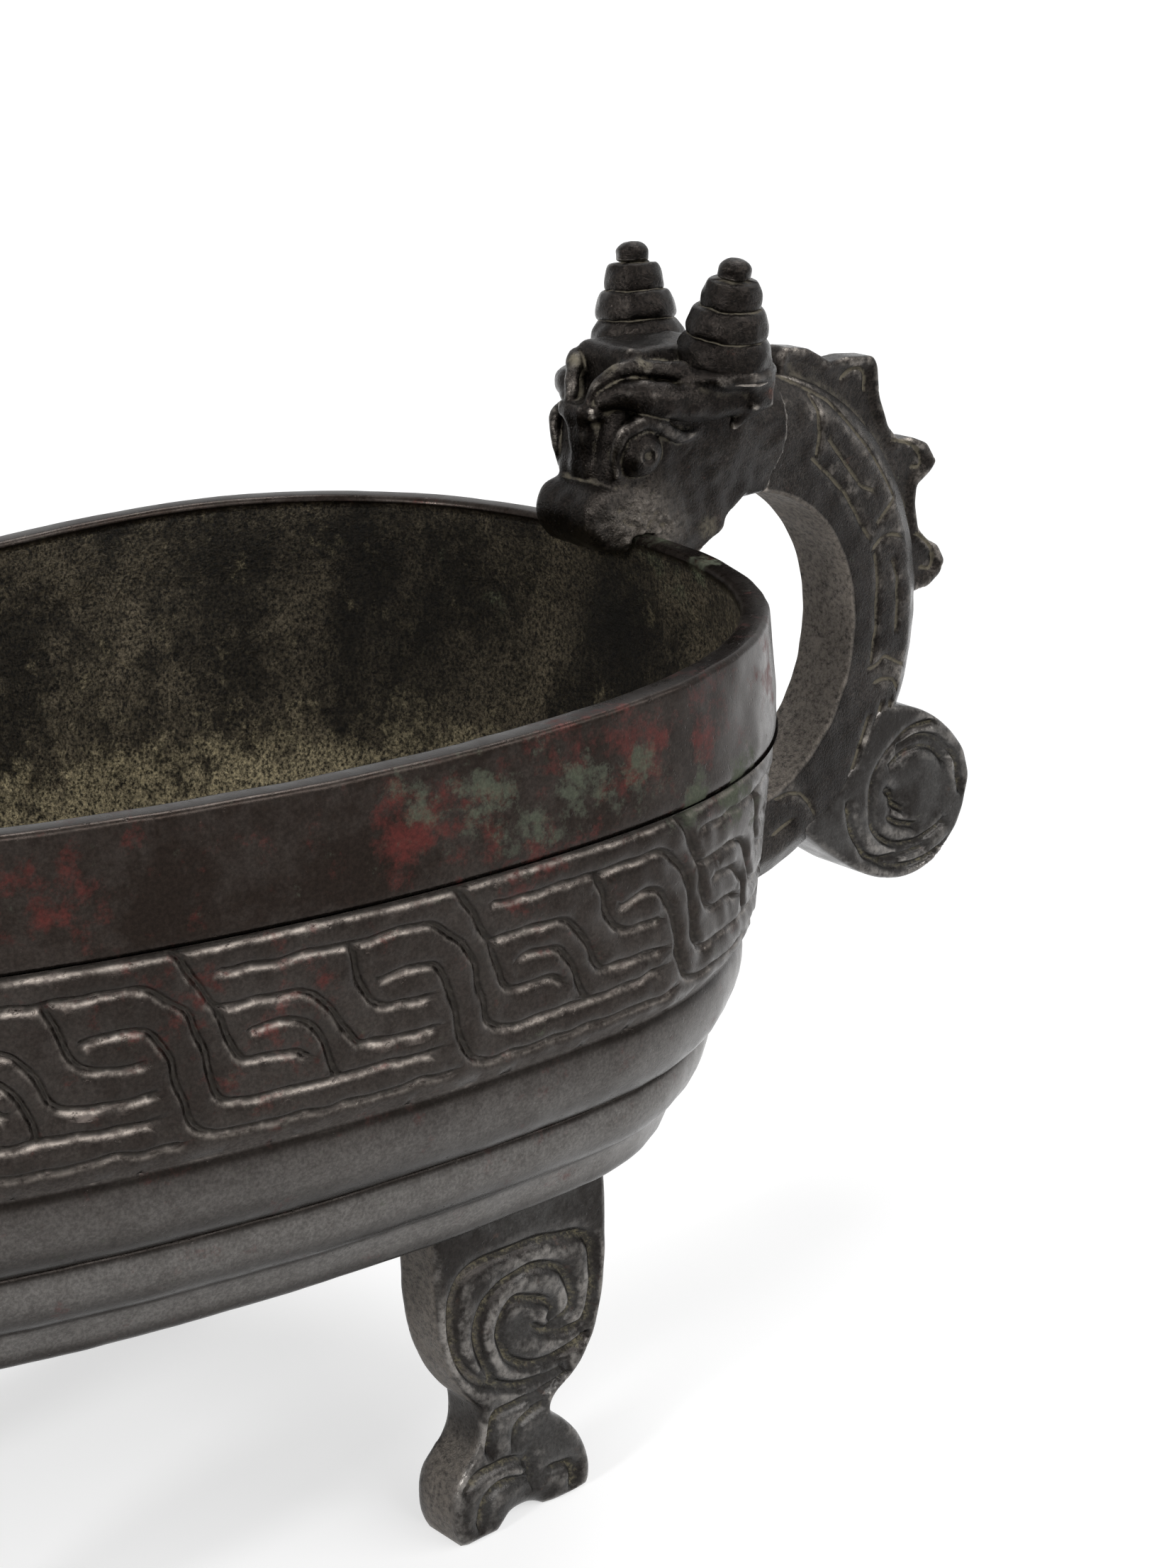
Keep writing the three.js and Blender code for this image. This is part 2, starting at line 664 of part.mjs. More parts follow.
place("bowl", makeBowl(), bowlBronze);
for (const leg of legPlaces) place(leg.name, makeLeg(leg), legBronze);
place("handle_loop", makeLoop(), handleBronze);
place("handle_core", makeCore(), coreClay);
place("crest", crestSolid(0), handleBronze);
place("tail_scroll", makeTail(), handleBronze);
place("dragon_head", makeHead(), handleBronze);
place("horn_right", makeHorn(-1), handleBronze);
place("horn_left", makeHorn(1), handleBronze);

vessel.position.x = (spoutLength - tailX - tailRadius) / 2;

export default vessel;
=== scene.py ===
"""A bronze ritual pouring vessel: its carved and weathered surfaces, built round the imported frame.

Shapes are worked out in millimetres from the bowl's widest station, as the solids are, and are put
into the frame in metres by one function, piece().
"""
import math

import bpy
import numpy as np
from mathutils import Matrix, Vector, kdtree
from mathutils.geometry import delaunay_2d_cdt


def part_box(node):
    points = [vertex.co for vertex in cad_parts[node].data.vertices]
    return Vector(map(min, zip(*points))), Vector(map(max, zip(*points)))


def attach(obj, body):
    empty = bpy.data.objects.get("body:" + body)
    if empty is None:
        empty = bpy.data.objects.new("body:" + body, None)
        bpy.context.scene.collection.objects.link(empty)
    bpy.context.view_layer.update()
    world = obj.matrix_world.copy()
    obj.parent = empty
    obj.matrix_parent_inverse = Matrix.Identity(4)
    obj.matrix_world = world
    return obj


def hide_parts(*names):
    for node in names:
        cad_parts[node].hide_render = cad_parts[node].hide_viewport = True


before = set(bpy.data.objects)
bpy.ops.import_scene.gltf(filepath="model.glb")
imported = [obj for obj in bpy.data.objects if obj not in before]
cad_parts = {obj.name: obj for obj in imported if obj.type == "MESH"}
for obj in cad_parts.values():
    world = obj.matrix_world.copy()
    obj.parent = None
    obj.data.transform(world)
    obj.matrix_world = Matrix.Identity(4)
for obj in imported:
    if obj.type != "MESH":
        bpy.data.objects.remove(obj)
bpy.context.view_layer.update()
dice = np.random.default_rng(11)

# Bowl, seen from above
MOUTH_HALF_WIDTH = 80
REAR_LENGTH = 82.4
ROUNDNESS = 2.32
TAPER = 0.00189
SPOUT_LENGTH = 196
SPOUT_HALF_WIDTH = 28
NECK_START = 98
NECK_LENGTH = 60
BASE_LENGTH = 150
BAND_LENGTH = 189
BASE_ROUNDNESS = 1.87  # the lower levels are rounder behind
BASE_TAPER = 0.00145
BASE_STATION = 12.2  # and their widest station lies further back
COLUMN_STEP = 1.5
FRONT_STEP = 2.2  # between the columns of the spout
FRONT_FROM = -112

# Bowl, from the floor up
RIB_FEET = [65.2, 73.4, 84.7, 99.8]
RIB_INSETS = [16.2, 11.4, 8.2, 2.8]
RIB_BULGES = [1.4, 2.4, 3.2]
RIB_SKEWS = [0.35, 0.9, 0.72]
UNDERSIDE = [(5.9, 46), (5.4, 38), (4.6, 30), (3.2, 24), (1.8, 20), (0.8, 17.6)]  # drop, inset
BAND_FOOT = 101
BAND_TOP = 137
BAND_PROFILE = [(99.8, 2.8), (100.4, 1.9), (101.4, 1.1), (103.8, 0.2), (136, -1.2), (137, -1.8)]
RIM_HEIGHT = 158.4
RIM_ROUND = 1.1
RIM_WIDTH = 5
INSIDE = [(141, 2.7), (105, 6.7), (78.1, 14.9), (70, 24.5), (63.5, 48.5)]

# Band: one scroll unit, from its bend, in mm along the band and up from its foot
UNIT = 47.7
FIRST_BEND = -80.2
GROOVE_DEPTH = 1.4
GROOVE_SLOPE = 2.9  # width of the gentle side below a groove, where a strip leans in
GROOVE_SIDE = 1.4  # width of each side of an upright groove
GROOVE_WALL = 0.9  # width of the steep side above a groove
# A brighter rubbed line on the upward-facing lip under each groove only: wear and a painted highlight.
RUBBED_HIGHLIGHT_AT = 0.95  # middle of the rubbed line below a groove, which is also a painted highlight
RUBBED_HIGHLIGHT_WIDTH = 0.6
RUBBED_HIGHLIGHT = 0.42
BAND_TOP_LINE = 35.9
BAND_WANDER = 0.16
SCROLL = [
    [(1.7, 35.5), (3.8, 33.9), (5.7, 31), (7.9, 26.9), (9.6, 24.4), (13.5, 24.4), (22.7, 24.3),
     (26.2, 23), (28.9, 20), (31.7, 14.8), (33.2, 12.9), (37.7, 12.3), (46.7, 12.2)],
    [(9.6, 24.4), (11.4, 19.7), (12.6, 16.2), (14.2, 14.9), (18, 14.8), (22.7, 14.6), (24.4, 13.4)],
    [(10.2, 30.5), (31, 30.2), (43, 30.4), (45.7, 30), (48, 29), (50, 27.4), (52.5, 25),
     (54.1, 22), (55.1, 18.6), (56.1, 14.6), (57, 10.9), (58.9, 8.8), (61.6, 8.3), (78, 8.2),
     (94, 8.1)],
    [(37, 23.3), (42.7, 23.7), (46.2, 23.1), (48, 21.7), (49.5, 19), (50.8, 15), (51.6, 11),
     (53, 7), (54.5, 4.5), (57.5, 3.6), (78, 3.3), (98.2, 3.3)],
    [(31.2, 30.2), (32.2, 28), (33.4, 24.5), (34.7, 21.3), (36, 19.2), (38.5, 18.1), (45.5, 17.8)],
    [(15.5, 20), (20.7, 20.1), (23.2, 19.5), (25.4, 17.8), (27.3, 15.3), (28.4, 12), (29.2, 9.6),
     (29.9, 8.4)],
]

# Handle
LOOP_X = 109.3
LOOP_Z = 127.4
LOOP_INNER = 33.5
LOOP_OUTER = 51.5
LOOP_CROWN = 57
LOOP_SLIMMING = 4.5
LOOP_HALF_WIDTH = 7.4
CREST_HALF_WIDTH = 2.9
LOOP_START = 81
TAIL_X = 163.7
TAIL_Z = 85.4
TAIL_RADIUS = 20.4

# Finish
HOLLOW_GAIN = 4.5
RIDGE_GAIN = 3.5
FAR_AWAY = 99.0
EDGE_SHARES = (0.1, 0.3, 0.6, 1.0)  # rows of points over a plate's rounded edge

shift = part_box("bowl")[0][0] * 1000 + SPOUT_LENGTH


def smooth(t):
    """An S-curve from 0 to 1, held at both ends."""
    t = np.clip(t, 0, 1)
    return t * t * (3 - 2 * t)


def mix(a, b, t):
    return a + (b - a) * t


# Meshes

def waves(points, length, seed, count=24):
    """Soft noise of about -1 to 1: a sum of plane waves of nearly one wavelength."""
    rng = np.random.default_rng(seed)
    ways = rng.normal(size=(count, points.shape[1]))
    ways *= (2 * math.pi / length * rng.uniform(0.6, 1.5, count) / np.linalg.norm(ways, axis=1))[:, None]
    starts = rng.uniform(0, 2 * math.pi, count)
    return np.sin(points @ ways.T + starts).sum(axis=1) / math.sqrt(count / 2)


def curvature(mesh):
    """How hollow (above 0) or raised (below 0) the surface is at each vertex."""
    count = len(mesh.vertices)
    points = np.empty(count * 3)
    mesh.vertices.foreach_get("co", points)
    points = points.reshape(-1, 3)
    normals = np.empty(count * 3)
    mesh.vertex_normals.foreach_get("vector", normals)
    normals = normals.reshape(-1, 3)
    edges = np.empty(len(mesh.edges) * 2, dtype=np.int64)
    mesh.edges.foreach_get("vertices", edges)
    a, b = edges.reshape(-1, 2).T
    along = points[b] - points[a]
    along /= np.maximum(np.linalg.norm(along, axis=1), 1e-9)[:, None]
    bend = np.bincount(a, (along * normals[a]).sum(1), count)
    bend -= np.bincount(b, (along * normals[b]).sum(1), count)
    valence = np.maximum(np.bincount(a, minlength=count) + np.bincount(b, minlength=count), 1)
    bend /= valence
    for _ in range(2):
        around = np.bincount(a, bend[b], count) + np.bincount(b, bend[a], count)
        bend = 0.4 * bend + 0.6 * around / valence
    return bend


def piece(name, points, faces, material, nodes, marks=None, mirror=False, dust_and_shade_share=1.0):
    """A mesh from points in mm, put into the frame. It stands for the given nodes of the solids.

    marks are values of 0 to 1 at each point, which the materials read. What the mesh's own bends
    say of hollows and ridges is added to them."""
    points = np.array(points, dtype=float)
    if mirror:
        points[:, 1] *= -1
        faces = [face[::-1] for face in faces]
    points[:, 0] += shift
    mesh = bpy.data.meshes.new(name)
    mesh.from_pydata((points / 1000).tolist(), [], [list(face) for face in faces])
    mesh.validate()
    mesh.shade_smooth()
    bend = curvature(mesh)
    marks = dict(marks or {})
    # Dust and painted shade in the mesh's hollows, scaled by dust_and_shade_share.
    marks["hollow"] = np.maximum(dust_and_shade_share * np.clip(bend * HOLLOW_GAIN, 0, 1), marks.get("hollow", 0))
    marks["ridge"] = np.maximum(np.clip(-bend * RIDGE_GAIN, 0, 1), marks.get("ridge", 0))
    for mark, values in marks.items():
        layer = mesh.attributes.new(mark, "FLOAT", "POINT")
        layer.data.foreach_set("value", np.ascontiguousarray(values, dtype=np.float32))
    thing = bpy.data.objects.new(name, mesh)
    bpy.context.collection.objects.link(thing)
    mesh.materials.append(material)
    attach(thing, "root")
    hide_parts(*nodes)
    return thing


def welded(points, faces, distance=1e-4):
    """The same mesh with points that lie together made one, and faces that this closes left out.

    Also returns which of the old points each new one was."""
    key = np.round(points / distance).astype(np.int64)
    _, first, place = np.unique(key, axis=0, return_index=True, return_inverse=True)
    place = place.ravel()
    kept = []
    for face in faces:
        loop = [place[i] for i in face]
        loop = [v for k, v in enumerate(loop) if v != loop[k - 1]]
        if len(loop) > 2:
            kept.append(loop)
    return points[first], kept, first


def dense(line, step):
    """Points along a line, about one step apart, with the line's own points kept."""
    line = np.asarray(line, dtype=float)
    out = [line[:1]]
    for a, b in zip(line[:-1], line[1:]):
        count = max(1, int(round(np.linalg.norm(b - a) / step)))
        out.append(a + (b - a) * (np.arange(1, count + 1) / count)[:, None])
    return np.concatenate(out)


def rounded(line, radius=1.2, closed=False):
    """The same line with its corners eased over a radius, where the stretches are long enough."""
    line = np.asarray(line, dtype=float)
    if closed:
        line = np.concatenate([line[-1:], line, line[:1]])
    out = [] if closed else [line[:1]]
    for a, b, c in zip(line[:-2], line[1:-1], line[2:]):
        before, after = np.linalg.norm(a - b), np.linalg.norm(c - b)
        first = mix(b, a, min(radius / before, 0.5))
        last = mix(b, c, min(radius / after, 0.5))
        t = np.linspace(0, 1, 5)[:, None]
        out.append((1 - t) ** 2 * first + 2 * t * (1 - t) * b + t ** 2 * last)
    if not closed:
        out.append(line[-1:])
    line = np.concatenate(out)
    apart = np.linalg.norm(np.diff(line, axis=0), axis=1) > 1e-6
    return line[np.concatenate([[True], apart])]


def tree_of(lines):
    """A search tree of points spread closely along lines."""
    points = np.concatenate([dense(line, 0.12) for line in lines])
    tree = kdtree.KDTree(len(points))
    for i, (x, y) in enumerate(points):
        tree.insert((x, y, 0), i)
    tree.balance()
    return tree


def distances(tree, points):
    """How far each point is from the lines of a search tree."""
    return np.array([tree.find((x, y, 0))[2] for x, y in points])


def is_inside(outline, points):
    """Whether each point lies inside a closed outline."""
    x, y = points.T
    out = np.zeros(len(points), dtype=bool)
    for (ax, ay), (bx, by) in zip(outline, np.roll(outline, -1, axis=0)):
        if ay != by:
            out ^= ((ay > y) != (by > y)) & (x < ax + (bx - ax) * (y - ay) / (by - ay))
    return out


def beside(line, offset):
    """Points that lie at a distance to the left of a line (to the right if it is below 0)."""
    way = np.gradient(line, axis=0)
    way /= np.maximum(np.linalg.norm(way, axis=1), 1e-9)[:, None]
    return line + offset * np.stack([-way[:, 1], way[:, 0]], axis=1)


def hexagonal(low, high, step):
    """Evenly spread points over a rectangle, a little disordered."""
    rows = np.arange(low[1], high[1], step * 0.87)
    out = []
    for k, v in enumerate(rows):
        u = np.arange(low[0] + (k % 2) * step / 2, high[0], step)
        out.append(np.stack([u, np.full(len(u), v)], axis=1))
    points = np.concatenate(out)
    return points + dice.uniform(-0.12, 0.12, points.shape) * step


def carved_sheet(rim, lines, half, fill, step=0.8, sides=(0.4, 0.8), keep=None):
    """Triangles over the area inside rim, crowded along the carved lines.

    half is the width beside a line that gets rows of points, at the shares given as sides. fill is
    the distance between points elsewhere. keep are more points. Returns the points, the triangles,
    each point's distance from the nearest line, and the lines' search tree."""
    parts = [rim]
    edges = [(i, (i + 1) % len(rim)) for i in range(len(rim))]
    count = len(rim)
    rim_tree = tree_of([np.concatenate([rim, rim[:1]])])
    cuts = [dense(line, step) for line in lines]
    cut_tree = tree_of(cuts) if cuts else None
    for line in cuts:
        inner = line[distances(rim_tree, line) > 0.25]
        if len(inner) == len(line):
            edges += [(count + i, count + i + 1) for i in range(len(line) - 1)]
        parts.append(inner)
        count += len(inner)
        for share in sides:
            for side in (-1, 1):
                row = beside(line, side * share * half)
                clear = distances(cut_tree, row) > 0.96 * share * half
                clear &= distances(rim_tree, row) > 0.3
                parts.append(row[clear])
                count += len(parts[-1])
    loose = hexagonal(rim.min(axis=0), rim.max(axis=0), fill)
    clear = distances(rim_tree, loose) > fill * 0.5
    if cuts:
        clear &= distances(cut_tree, loose) > half + fill * 0.35
    parts.append(loose[clear])
    if keep is not None:
        parts.append(keep)
    points = np.concatenate(parts)
    result = delaunay_2d_cdt([Vector(p) for p in points], edges, [], 0, 1e-5, False)
    flat = np.array([tuple(p) for p in result[0]])
    faces = np.array(result[2])
    faces = faces[is_inside(rim, flat[faces].mean(axis=1))]
    used = np.unique(faces)
    place = np.full(len(flat), -1)
    place[used] = np.arange(len(used))
    flat = flat[used]
    near = distances(cut_tree, flat) if cuts else np.full(len(flat), FAR_AWAY)
    return flat, place[faces], near, cut_tree


# Bowl

def plan_values(z):
    """Taper, roundness and widest station of a level."""
    share = np.clip((BAND_TOP - z) / (BAND_TOP - RIB_FEET[0]), 0, 1.2)
    return mix(TAPER, BASE_TAPER, share), mix(ROUNDNESS, BASE_ROUNDNESS, share), BASE_STATION * share


def front_end(z):
    """How far a level reaches towards the spout."""
    low = mix(BASE_LENGTH, BAND_LENGTH, np.clip((z - 66) / (BAND_TOP - 66), 0, 1) ** 1.3)
    return -mix(low, SPOUT_LENGTH, np.clip((z - BAND_TOP) / (RIM_HEIGHT - BAND_TOP), 0, 1))


def front_half_width(x, z, inset, end):
    """Half of a level's width ahead of the widest station, down to nothing at its end."""
    taper, _, station = plan_values(z)
    spout = smooth((z - 66) / (BAND_TOP - 66))
    side = MOUTH_HALF_WIDTH - inset - taper * (x - station) ** 2
    side = mix(side, SPOUT_HALF_WIDTH - inset, spout * smooth((-x - NECK_START) / NECK_LENGTH))
    return np.maximum(side, 0) * np.sqrt(np.maximum(1 - np.clip(x / end, 0, 1) ** (10 + 12 * spout), 0))


def mouth_columns():
    """The mouth's half outline, from behind to the spout's tip, and its length from x = 0."""
    t = np.linspace(0, math.pi / 2, 1500)
    power = 2 / ROUNDNESS
    rear = np.stack([REAR_LENGTH * np.cos(t) ** power, MOUTH_HALF_WIDTH * np.sin(t) ** power], 1)
    x = -SPOUT_LENGTH * np.sin(np.linspace(0, math.pi / 2, 3000))
    front = np.stack([x, front_half_width(x, RIM_HEIGHT, 0, -SPOUT_LENGTH)], 1)
    line = np.concatenate([rear, front[1:]])
    length = np.concatenate([[0], np.cumsum(np.linalg.norm(np.diff(line, axis=0), axis=1))])
    along = length[len(rear) - 1] - length
    wanted = np.concatenate([
        np.linspace(along[0], FRONT_FROM, int((along[0] - FRONT_FROM) / COLUMN_STEP)),
        np.linspace(FRONT_FROM, along[-1], int((FRONT_FROM - along[-1]) / FRONT_STEP))[1:],
    ])
    where = np.interp(-wanted, -along, np.arange(len(line)))
    return np.stack([np.interp(where, np.arange(len(line)), line[:, k]) for k in (0, 1)], 1), wanted


mouth, column_s = mouth_columns()
column_angle = np.arctan2(mouth[:, 1], mouth[:, 0])


def level(z, inset):
    """Half of one level's outline: a point below each column of the mouth."""
    taper, roundness, station = plan_values(z)
    t = np.linspace(0, math.pi / 2, 160)
    width = MOUTH_HALF_WIDTH - inset
    x = station + (REAR_LENGTH - station - inset) * np.cos(t) ** (2 / roundness)
    y = width * np.sin(t) ** (2 / roundness)
    ahead = np.linspace(station, -2, 12)[1:]
    x = np.concatenate([x, ahead])
    y = np.concatenate([y, width - taper * (ahead - station) ** 2])
    angle = np.arctan2(y, x)
    back = mouth[:, 0] >= 0
    end = front_end(z) + inset * 0.5
    u = -mouth[:, 0] / SPOUT_LENGTH
    front_x = mix(mouth[:, 0], end * u, smooth((u - 0.5) / 0.35))
    half = np.stack([front_x, front_half_width(front_x, z, inset, end)], 1)
    wanted = column_angle[back]
    half[back] = np.stack([np.interp(wanted, angle, x), np.interp(wanted, angle, y)], 1)
    half[[0, -1], 1] = 0
    return half


def rim_z(x, y):
    """The rim's height, which dips along the sides, rises at the spout and drops at its open end."""
    back = np.maximum(0, 40 - x)
    rise = np.maximum(0, (-x - NECK_START) / (SPOUT_LENGTH - NECK_START))
    across = np.minimum(1, np.abs(y) / (SPOUT_HALF_WIDTH * 0.8))
    lip = 22 * smooth((-x - SPOUT_LENGTH + 16) / 15) * (1 - across ** 3)
    return RIM_HEIGHT - 0.0271 * back * (1 - back / 183) + 8 * rise ** 2 - lip


def ring_row(half, z):
    """A whole ring of points: back along the near side, then along the far side."""
    z = np.broadcast_to(z, len(half))
    near = np.stack([half[:, 0], -half[:, 1], z], 1)
    far = np.stack([half[:, 0], half[:, 1], z], 1)[-2:0:-1]
    return np.concatenate([near, far])


def rib_rows():
    """Rows of the underside and the three ribs, from the middle of the bottom up."""
    middle = level(RIB_FEET[0] - UNDERSIDE[0][0], UNDERSIDE[0][1])
    rows = [ring_row(middle * [1, share], RIB_FEET[0] - 6) for share in (0, 0.35, 0.7)]
    for drop, inset in UNDERSIDE:
        rows.append(ring_row(level(RIB_FEET[0] - drop, inset), RIB_FEET[0] - drop))
    share = np.array([0, 0.02, 0.06, 0.12, 0.2, 0.3, 0.42, 0.55, 0.68, 0.79, 0.87, 0.93, 0.97, 1])
    for k in range(3):
        p, q = 0.6 * RIB_SKEWS[k], 0.6 / RIB_SKEWS[k]
        peak = (p / (p + q)) ** p * (q / (p + q)) ** q
        bulge = RIB_BULGES[k] * share ** p * (1 - share) ** q / peak
        for s, b in list(zip(share, bulge))[0 if k == 0 else 1:]:
            z = mix(RIB_FEET[k], RIB_FEET[k + 1], s)
            rows.append(ring_row(level(z, mix(RIB_INSETS[k], RIB_INSETS[k + 1], s) - b), z))
    return rows


def collar_and_inside_rows():
    """Rows from the band's top over the rim and down the inside to the middle of the floor."""
    rows = []
    top_inset = BAND_PROFILE[-1][1]
    foot = level(BAND_TOP, top_inset)
    rim = level(RIM_HEIGHT, 0)
    for share in np.linspace(0, 1, 15):
        half = mix(foot, rim, share)
        inward = 0.55 * math.exp(-(share / 0.05) ** 2)
        half = mix(half, level(BAND_TOP, top_inset + 4), inward / 4)
        z = mix(np.full(len(half), float(BAND_TOP)), rim_z(*rim.T) - RIM_ROUND, share)
        rows.append(ring_row(half, z))
    for turn in (25, 50, 75, 90):
        sweep = math.radians(turn)
        half = level(RIM_HEIGHT, RIM_ROUND * (1 - math.cos(sweep)))
        rows.append(ring_row(half, rim_z(*half.T) - RIM_ROUND * (1 - math.sin(sweep))))
    for turn in (90, 60, 30, 0):
        sweep = math.radians(turn)
        half = level(RIM_HEIGHT, RIM_WIDTH - RIM_ROUND * (1 - math.cos(sweep)))
        rows.append(ring_row(half, rim_z(*half.T) - RIM_ROUND * (1 - math.sin(sweep))))
    first = len(rows)
    edge = level(RIM_HEIGHT, RIM_WIDTH)
    edge_z = rim_z(*edge.T) - RIM_ROUND
    shoulder = level(*INSIDE[0])
    for share in np.linspace(0, 1, 13)[1:]:
        rows.append(ring_row(mix(edge, shoulder, share), mix(edge_z, INSIDE[0][0], share)))
    heights, insets = np.array(INSIDE).T
    length = np.concatenate([[0], np.cumsum(np.hypot(np.diff(heights), np.diff(insets)))])
    for d in np.linspace(0, length[-1], 62)[1:]:
        z = np.interp(d, length, heights)
        rows.append(ring_row(level(z, np.interp(d, length, insets)), z))
    half = level(*INSIDE[-1])
    for share in (0.85, 0.7, 0.55, 0.4, 0.25, 0.1, 0):
        rows.append(ring_row(half * [1, share], INSIDE[-1][0]))
    return rows, first


def band_surface():
    """A function from (distance round the bowl, height) to a point on the band's plain surface."""
    heights = np.concatenate([np.linspace(RIB_FEET[3], 104, 12), np.linspace(104, BAND_TOP, 30)[1:]])
    z, inset = np.array(BAND_PROFILE).T
    rings = np.array([level(h, np.interp(h, z, inset)) for h in heights])
    half_length = column_s[0] - column_s[-1]

    def point(along, height, sink):
        far = along > half_length
        s = column_s[0] - np.where(far, 2 * half_length - along, along)
        column = np.interp(-s, -column_s, np.arange(len(column_s)))
        row = np.interp(height, heights, np.arange(len(heights)))
        c0 = np.minimum(column.astype(int), len(column_s) - 2)
        r0 = np.minimum(row.astype(int), len(heights) - 2)
        cu, ru = (column - c0)[:, None], (row - r0)[:, None]
        lower = mix(rings[r0, c0], rings[r0, c0 + 1], cu)
        upper = mix(rings[r0 + 1, c0], rings[r0 + 1, c0 + 1], cu)
        flat = mix(lower, upper, ru)
        way = rings[r0, c0 + 1] - rings[r0, c0]
        out = np.stack([way[:, 1], -way[:, 0]], 1)
        out /= np.maximum(np.linalg.norm(out, axis=1), 1e-9)[:, None]
        flat = flat - out * sink[:, None]
        return np.stack([flat[:, 0], np.where(far, flat[:, 1], -flat[:, 1]), height], 1)

    return point, half_length


def band_lines(half_length):
    """All the grooves, as lines of (distance round the bowl from behind, height)."""
    last = column_s[0]
    whole = 2 * half_length
    units = round(whole / UNIT)
    stretch = (units * UNIT - half_length) / half_length

    def around(t):
        """Near side: the pattern's own length. Far side: stretched, so that whole units fit."""
        near = last - t
        return np.where(near <= half_length, near, half_length + (near - half_length) / stretch)

    lines = []
    for k in range(-units - 3, 6):
        bend = FIRST_BEND + k * UNIT
        for line in SCROLL:
            line = dense(rounded(line, 1.3), 0.6)
            height = line[:, 1:]
            wander = np.stack([waves(line + [bend * 3.7, 0], 9, seed) for seed in (5, 6)], 1)
            free = smooth(height / 4) * smooth((BAND_TOP_LINE - height) / 4)
            line = line + BAND_WANDER * wander * free
            along = around(line[:, 0] + bend)
            inside = (along > 0.5) & (along < whole - 0.5)
            if inside.sum() > 2:
                lines.append(np.stack([along, line[:, 1] + BAND_FOOT], 1)[inside])
    t = np.arange(0.5, whole - 0.5, 0.8)
    lines.append(np.stack([t, BAND_FOOT + BAND_TOP_LINE - 0.9 + 0.12 * np.sin(t / 7)], 1))
    return lines


def band_mesh():
    """The band's points and faces, with the marks for dust and painted shade in its grooves, and for
    rubbed edges that are also a painted highlight.
    """
    point, half_length = band_surface()
    lines = band_lines(half_length)
    across = column_s[0] - column_s
    ring = np.concatenate([across, 2 * half_length - across[-2:0:-1], [2 * half_length]])
    side = np.linspace(RIB_FEET[3], BAND_TOP, 26)[1:-1]
    rim = np.concatenate([
        np.stack([ring, np.full(len(ring), RIB_FEET[3])], 1),
        np.stack([np.full(len(side), 2 * half_length), side], 1),
        np.stack([ring[::-1], np.full(len(ring), float(BAND_TOP))], 1),
        np.stack([np.zeros(len(side)), side[::-1]], 1),
    ])
    flat, faces, near, cut_tree = carved_sheet(rim, lines, GROOVE_SLOPE, 1.6, 1.05, (0.13, 0.33, 0.68))
    line_z = np.array([cut_tree.find((x, z, 0))[0][1] for x, z in flat])
    below = np.clip((line_z - flat[:, 1]) / np.maximum(near, 0.05), -1, 1)
    wide = np.interp(below, [-1, 0, 1], [GROOVE_WALL, GROOVE_SIDE, GROOVE_SLOPE])
    edge = np.minimum(flat[:, 1] - RIB_FEET[3], BAND_TOP - flat[:, 1])
    edge = np.minimum(edge, np.minimum(flat[:, 0], 2 * half_length - flat[:, 0]))
    slack = 1 - np.clip(near / wide, 0, 1)
    groove = GROOVE_DEPTH * slack ** 2
    # Painted highlight: a brighter rubbed line on the lower, upward-facing side of each groove only.
    rubbed_and_highlight = RUBBED_HIGHLIGHT * np.exp(-((near - RUBBED_HIGHLIGHT_AT) / RUBBED_HIGHLIGHT_WIDTH) ** 2) * smooth(below + 0.35)
    solid = point(flat[:, 0], flat[:, 1], np.zeros(len(flat)))
    sink = groove * smooth(edge / 0.6) + 0.07 * waves(solid, 6, 21) * smooth(edge / 1.5)
    # Dust and painted shade along the bottom of each groove.
    dust_and_shade = 0.9 * np.exp(-(near / 0.45) ** 2)
    return point(flat[:, 0], flat[:, 1], sink), faces, dust_and_shade, rubbed_and_highlight * smooth(edge / 0.6)


def rib_shade(z):
    """Painted shade on each rib: how dark it is at its lower half and close under the next one."""
    rise = np.zeros(len(z))
    for foot, top in zip(RIB_FEET[:-1], RIB_FEET[1:]):
        rise = np.where((z >= foot) & (z < top), (z - foot) / (top - foot), rise)
    shade = np.maximum(smooth((0.5 - rise) / 0.45), smooth((rise - 0.84) / 0.1))
    return np.where(z < RIB_FEET[3], shade, 0)


def cast_unevenly(outer):
    """Moves the outside's points a little, but for its middle line and where the band meets it."""
    height = outer[:, 2]
    cast = 0.09 * waves(outer, 17, 41) + 0.04 * waves(outer, 6, 42)
    away = outer * [1, 1, 0] + [30, 0, 0]
    away /= np.maximum(np.linalg.norm(away, axis=1), 1)[:, None]
    held = smooth(np.abs(outer[:, 1]) / 3) * smooth((height - 62) / 3)
    held *= smooth(np.abs(height - BAND_TOP) / 2) * smooth(np.abs(height - RIB_FEET[3]) / 1.5)
    outer += away * (cast * held)[:, None]


def corrode(inner, depth):
    """Moves the inside's points to lumps and hollows, from a few rows below the rim on."""
    floor = 30 * smooth((80 - inner[:, 2]) / 14)
    normal = np.stack([-inner[:, 0] - 20, -inner[:, 1] * 1.3, floor], 1)
    normal /= np.linalg.norm(normal, axis=1)[:, None]
    rough = 0.16 * waves(inner, 16, 31) + 0.14 * waves(inner, 5.5, 32, 40)
    rough += 0.12 * waves(inner, 2.9, 33, 50)
    rough *= smooth(depth / 8) * smooth(np.abs(inner[:, 1]) / 3 + 0.2)
    inner += normal * rough[:, None]


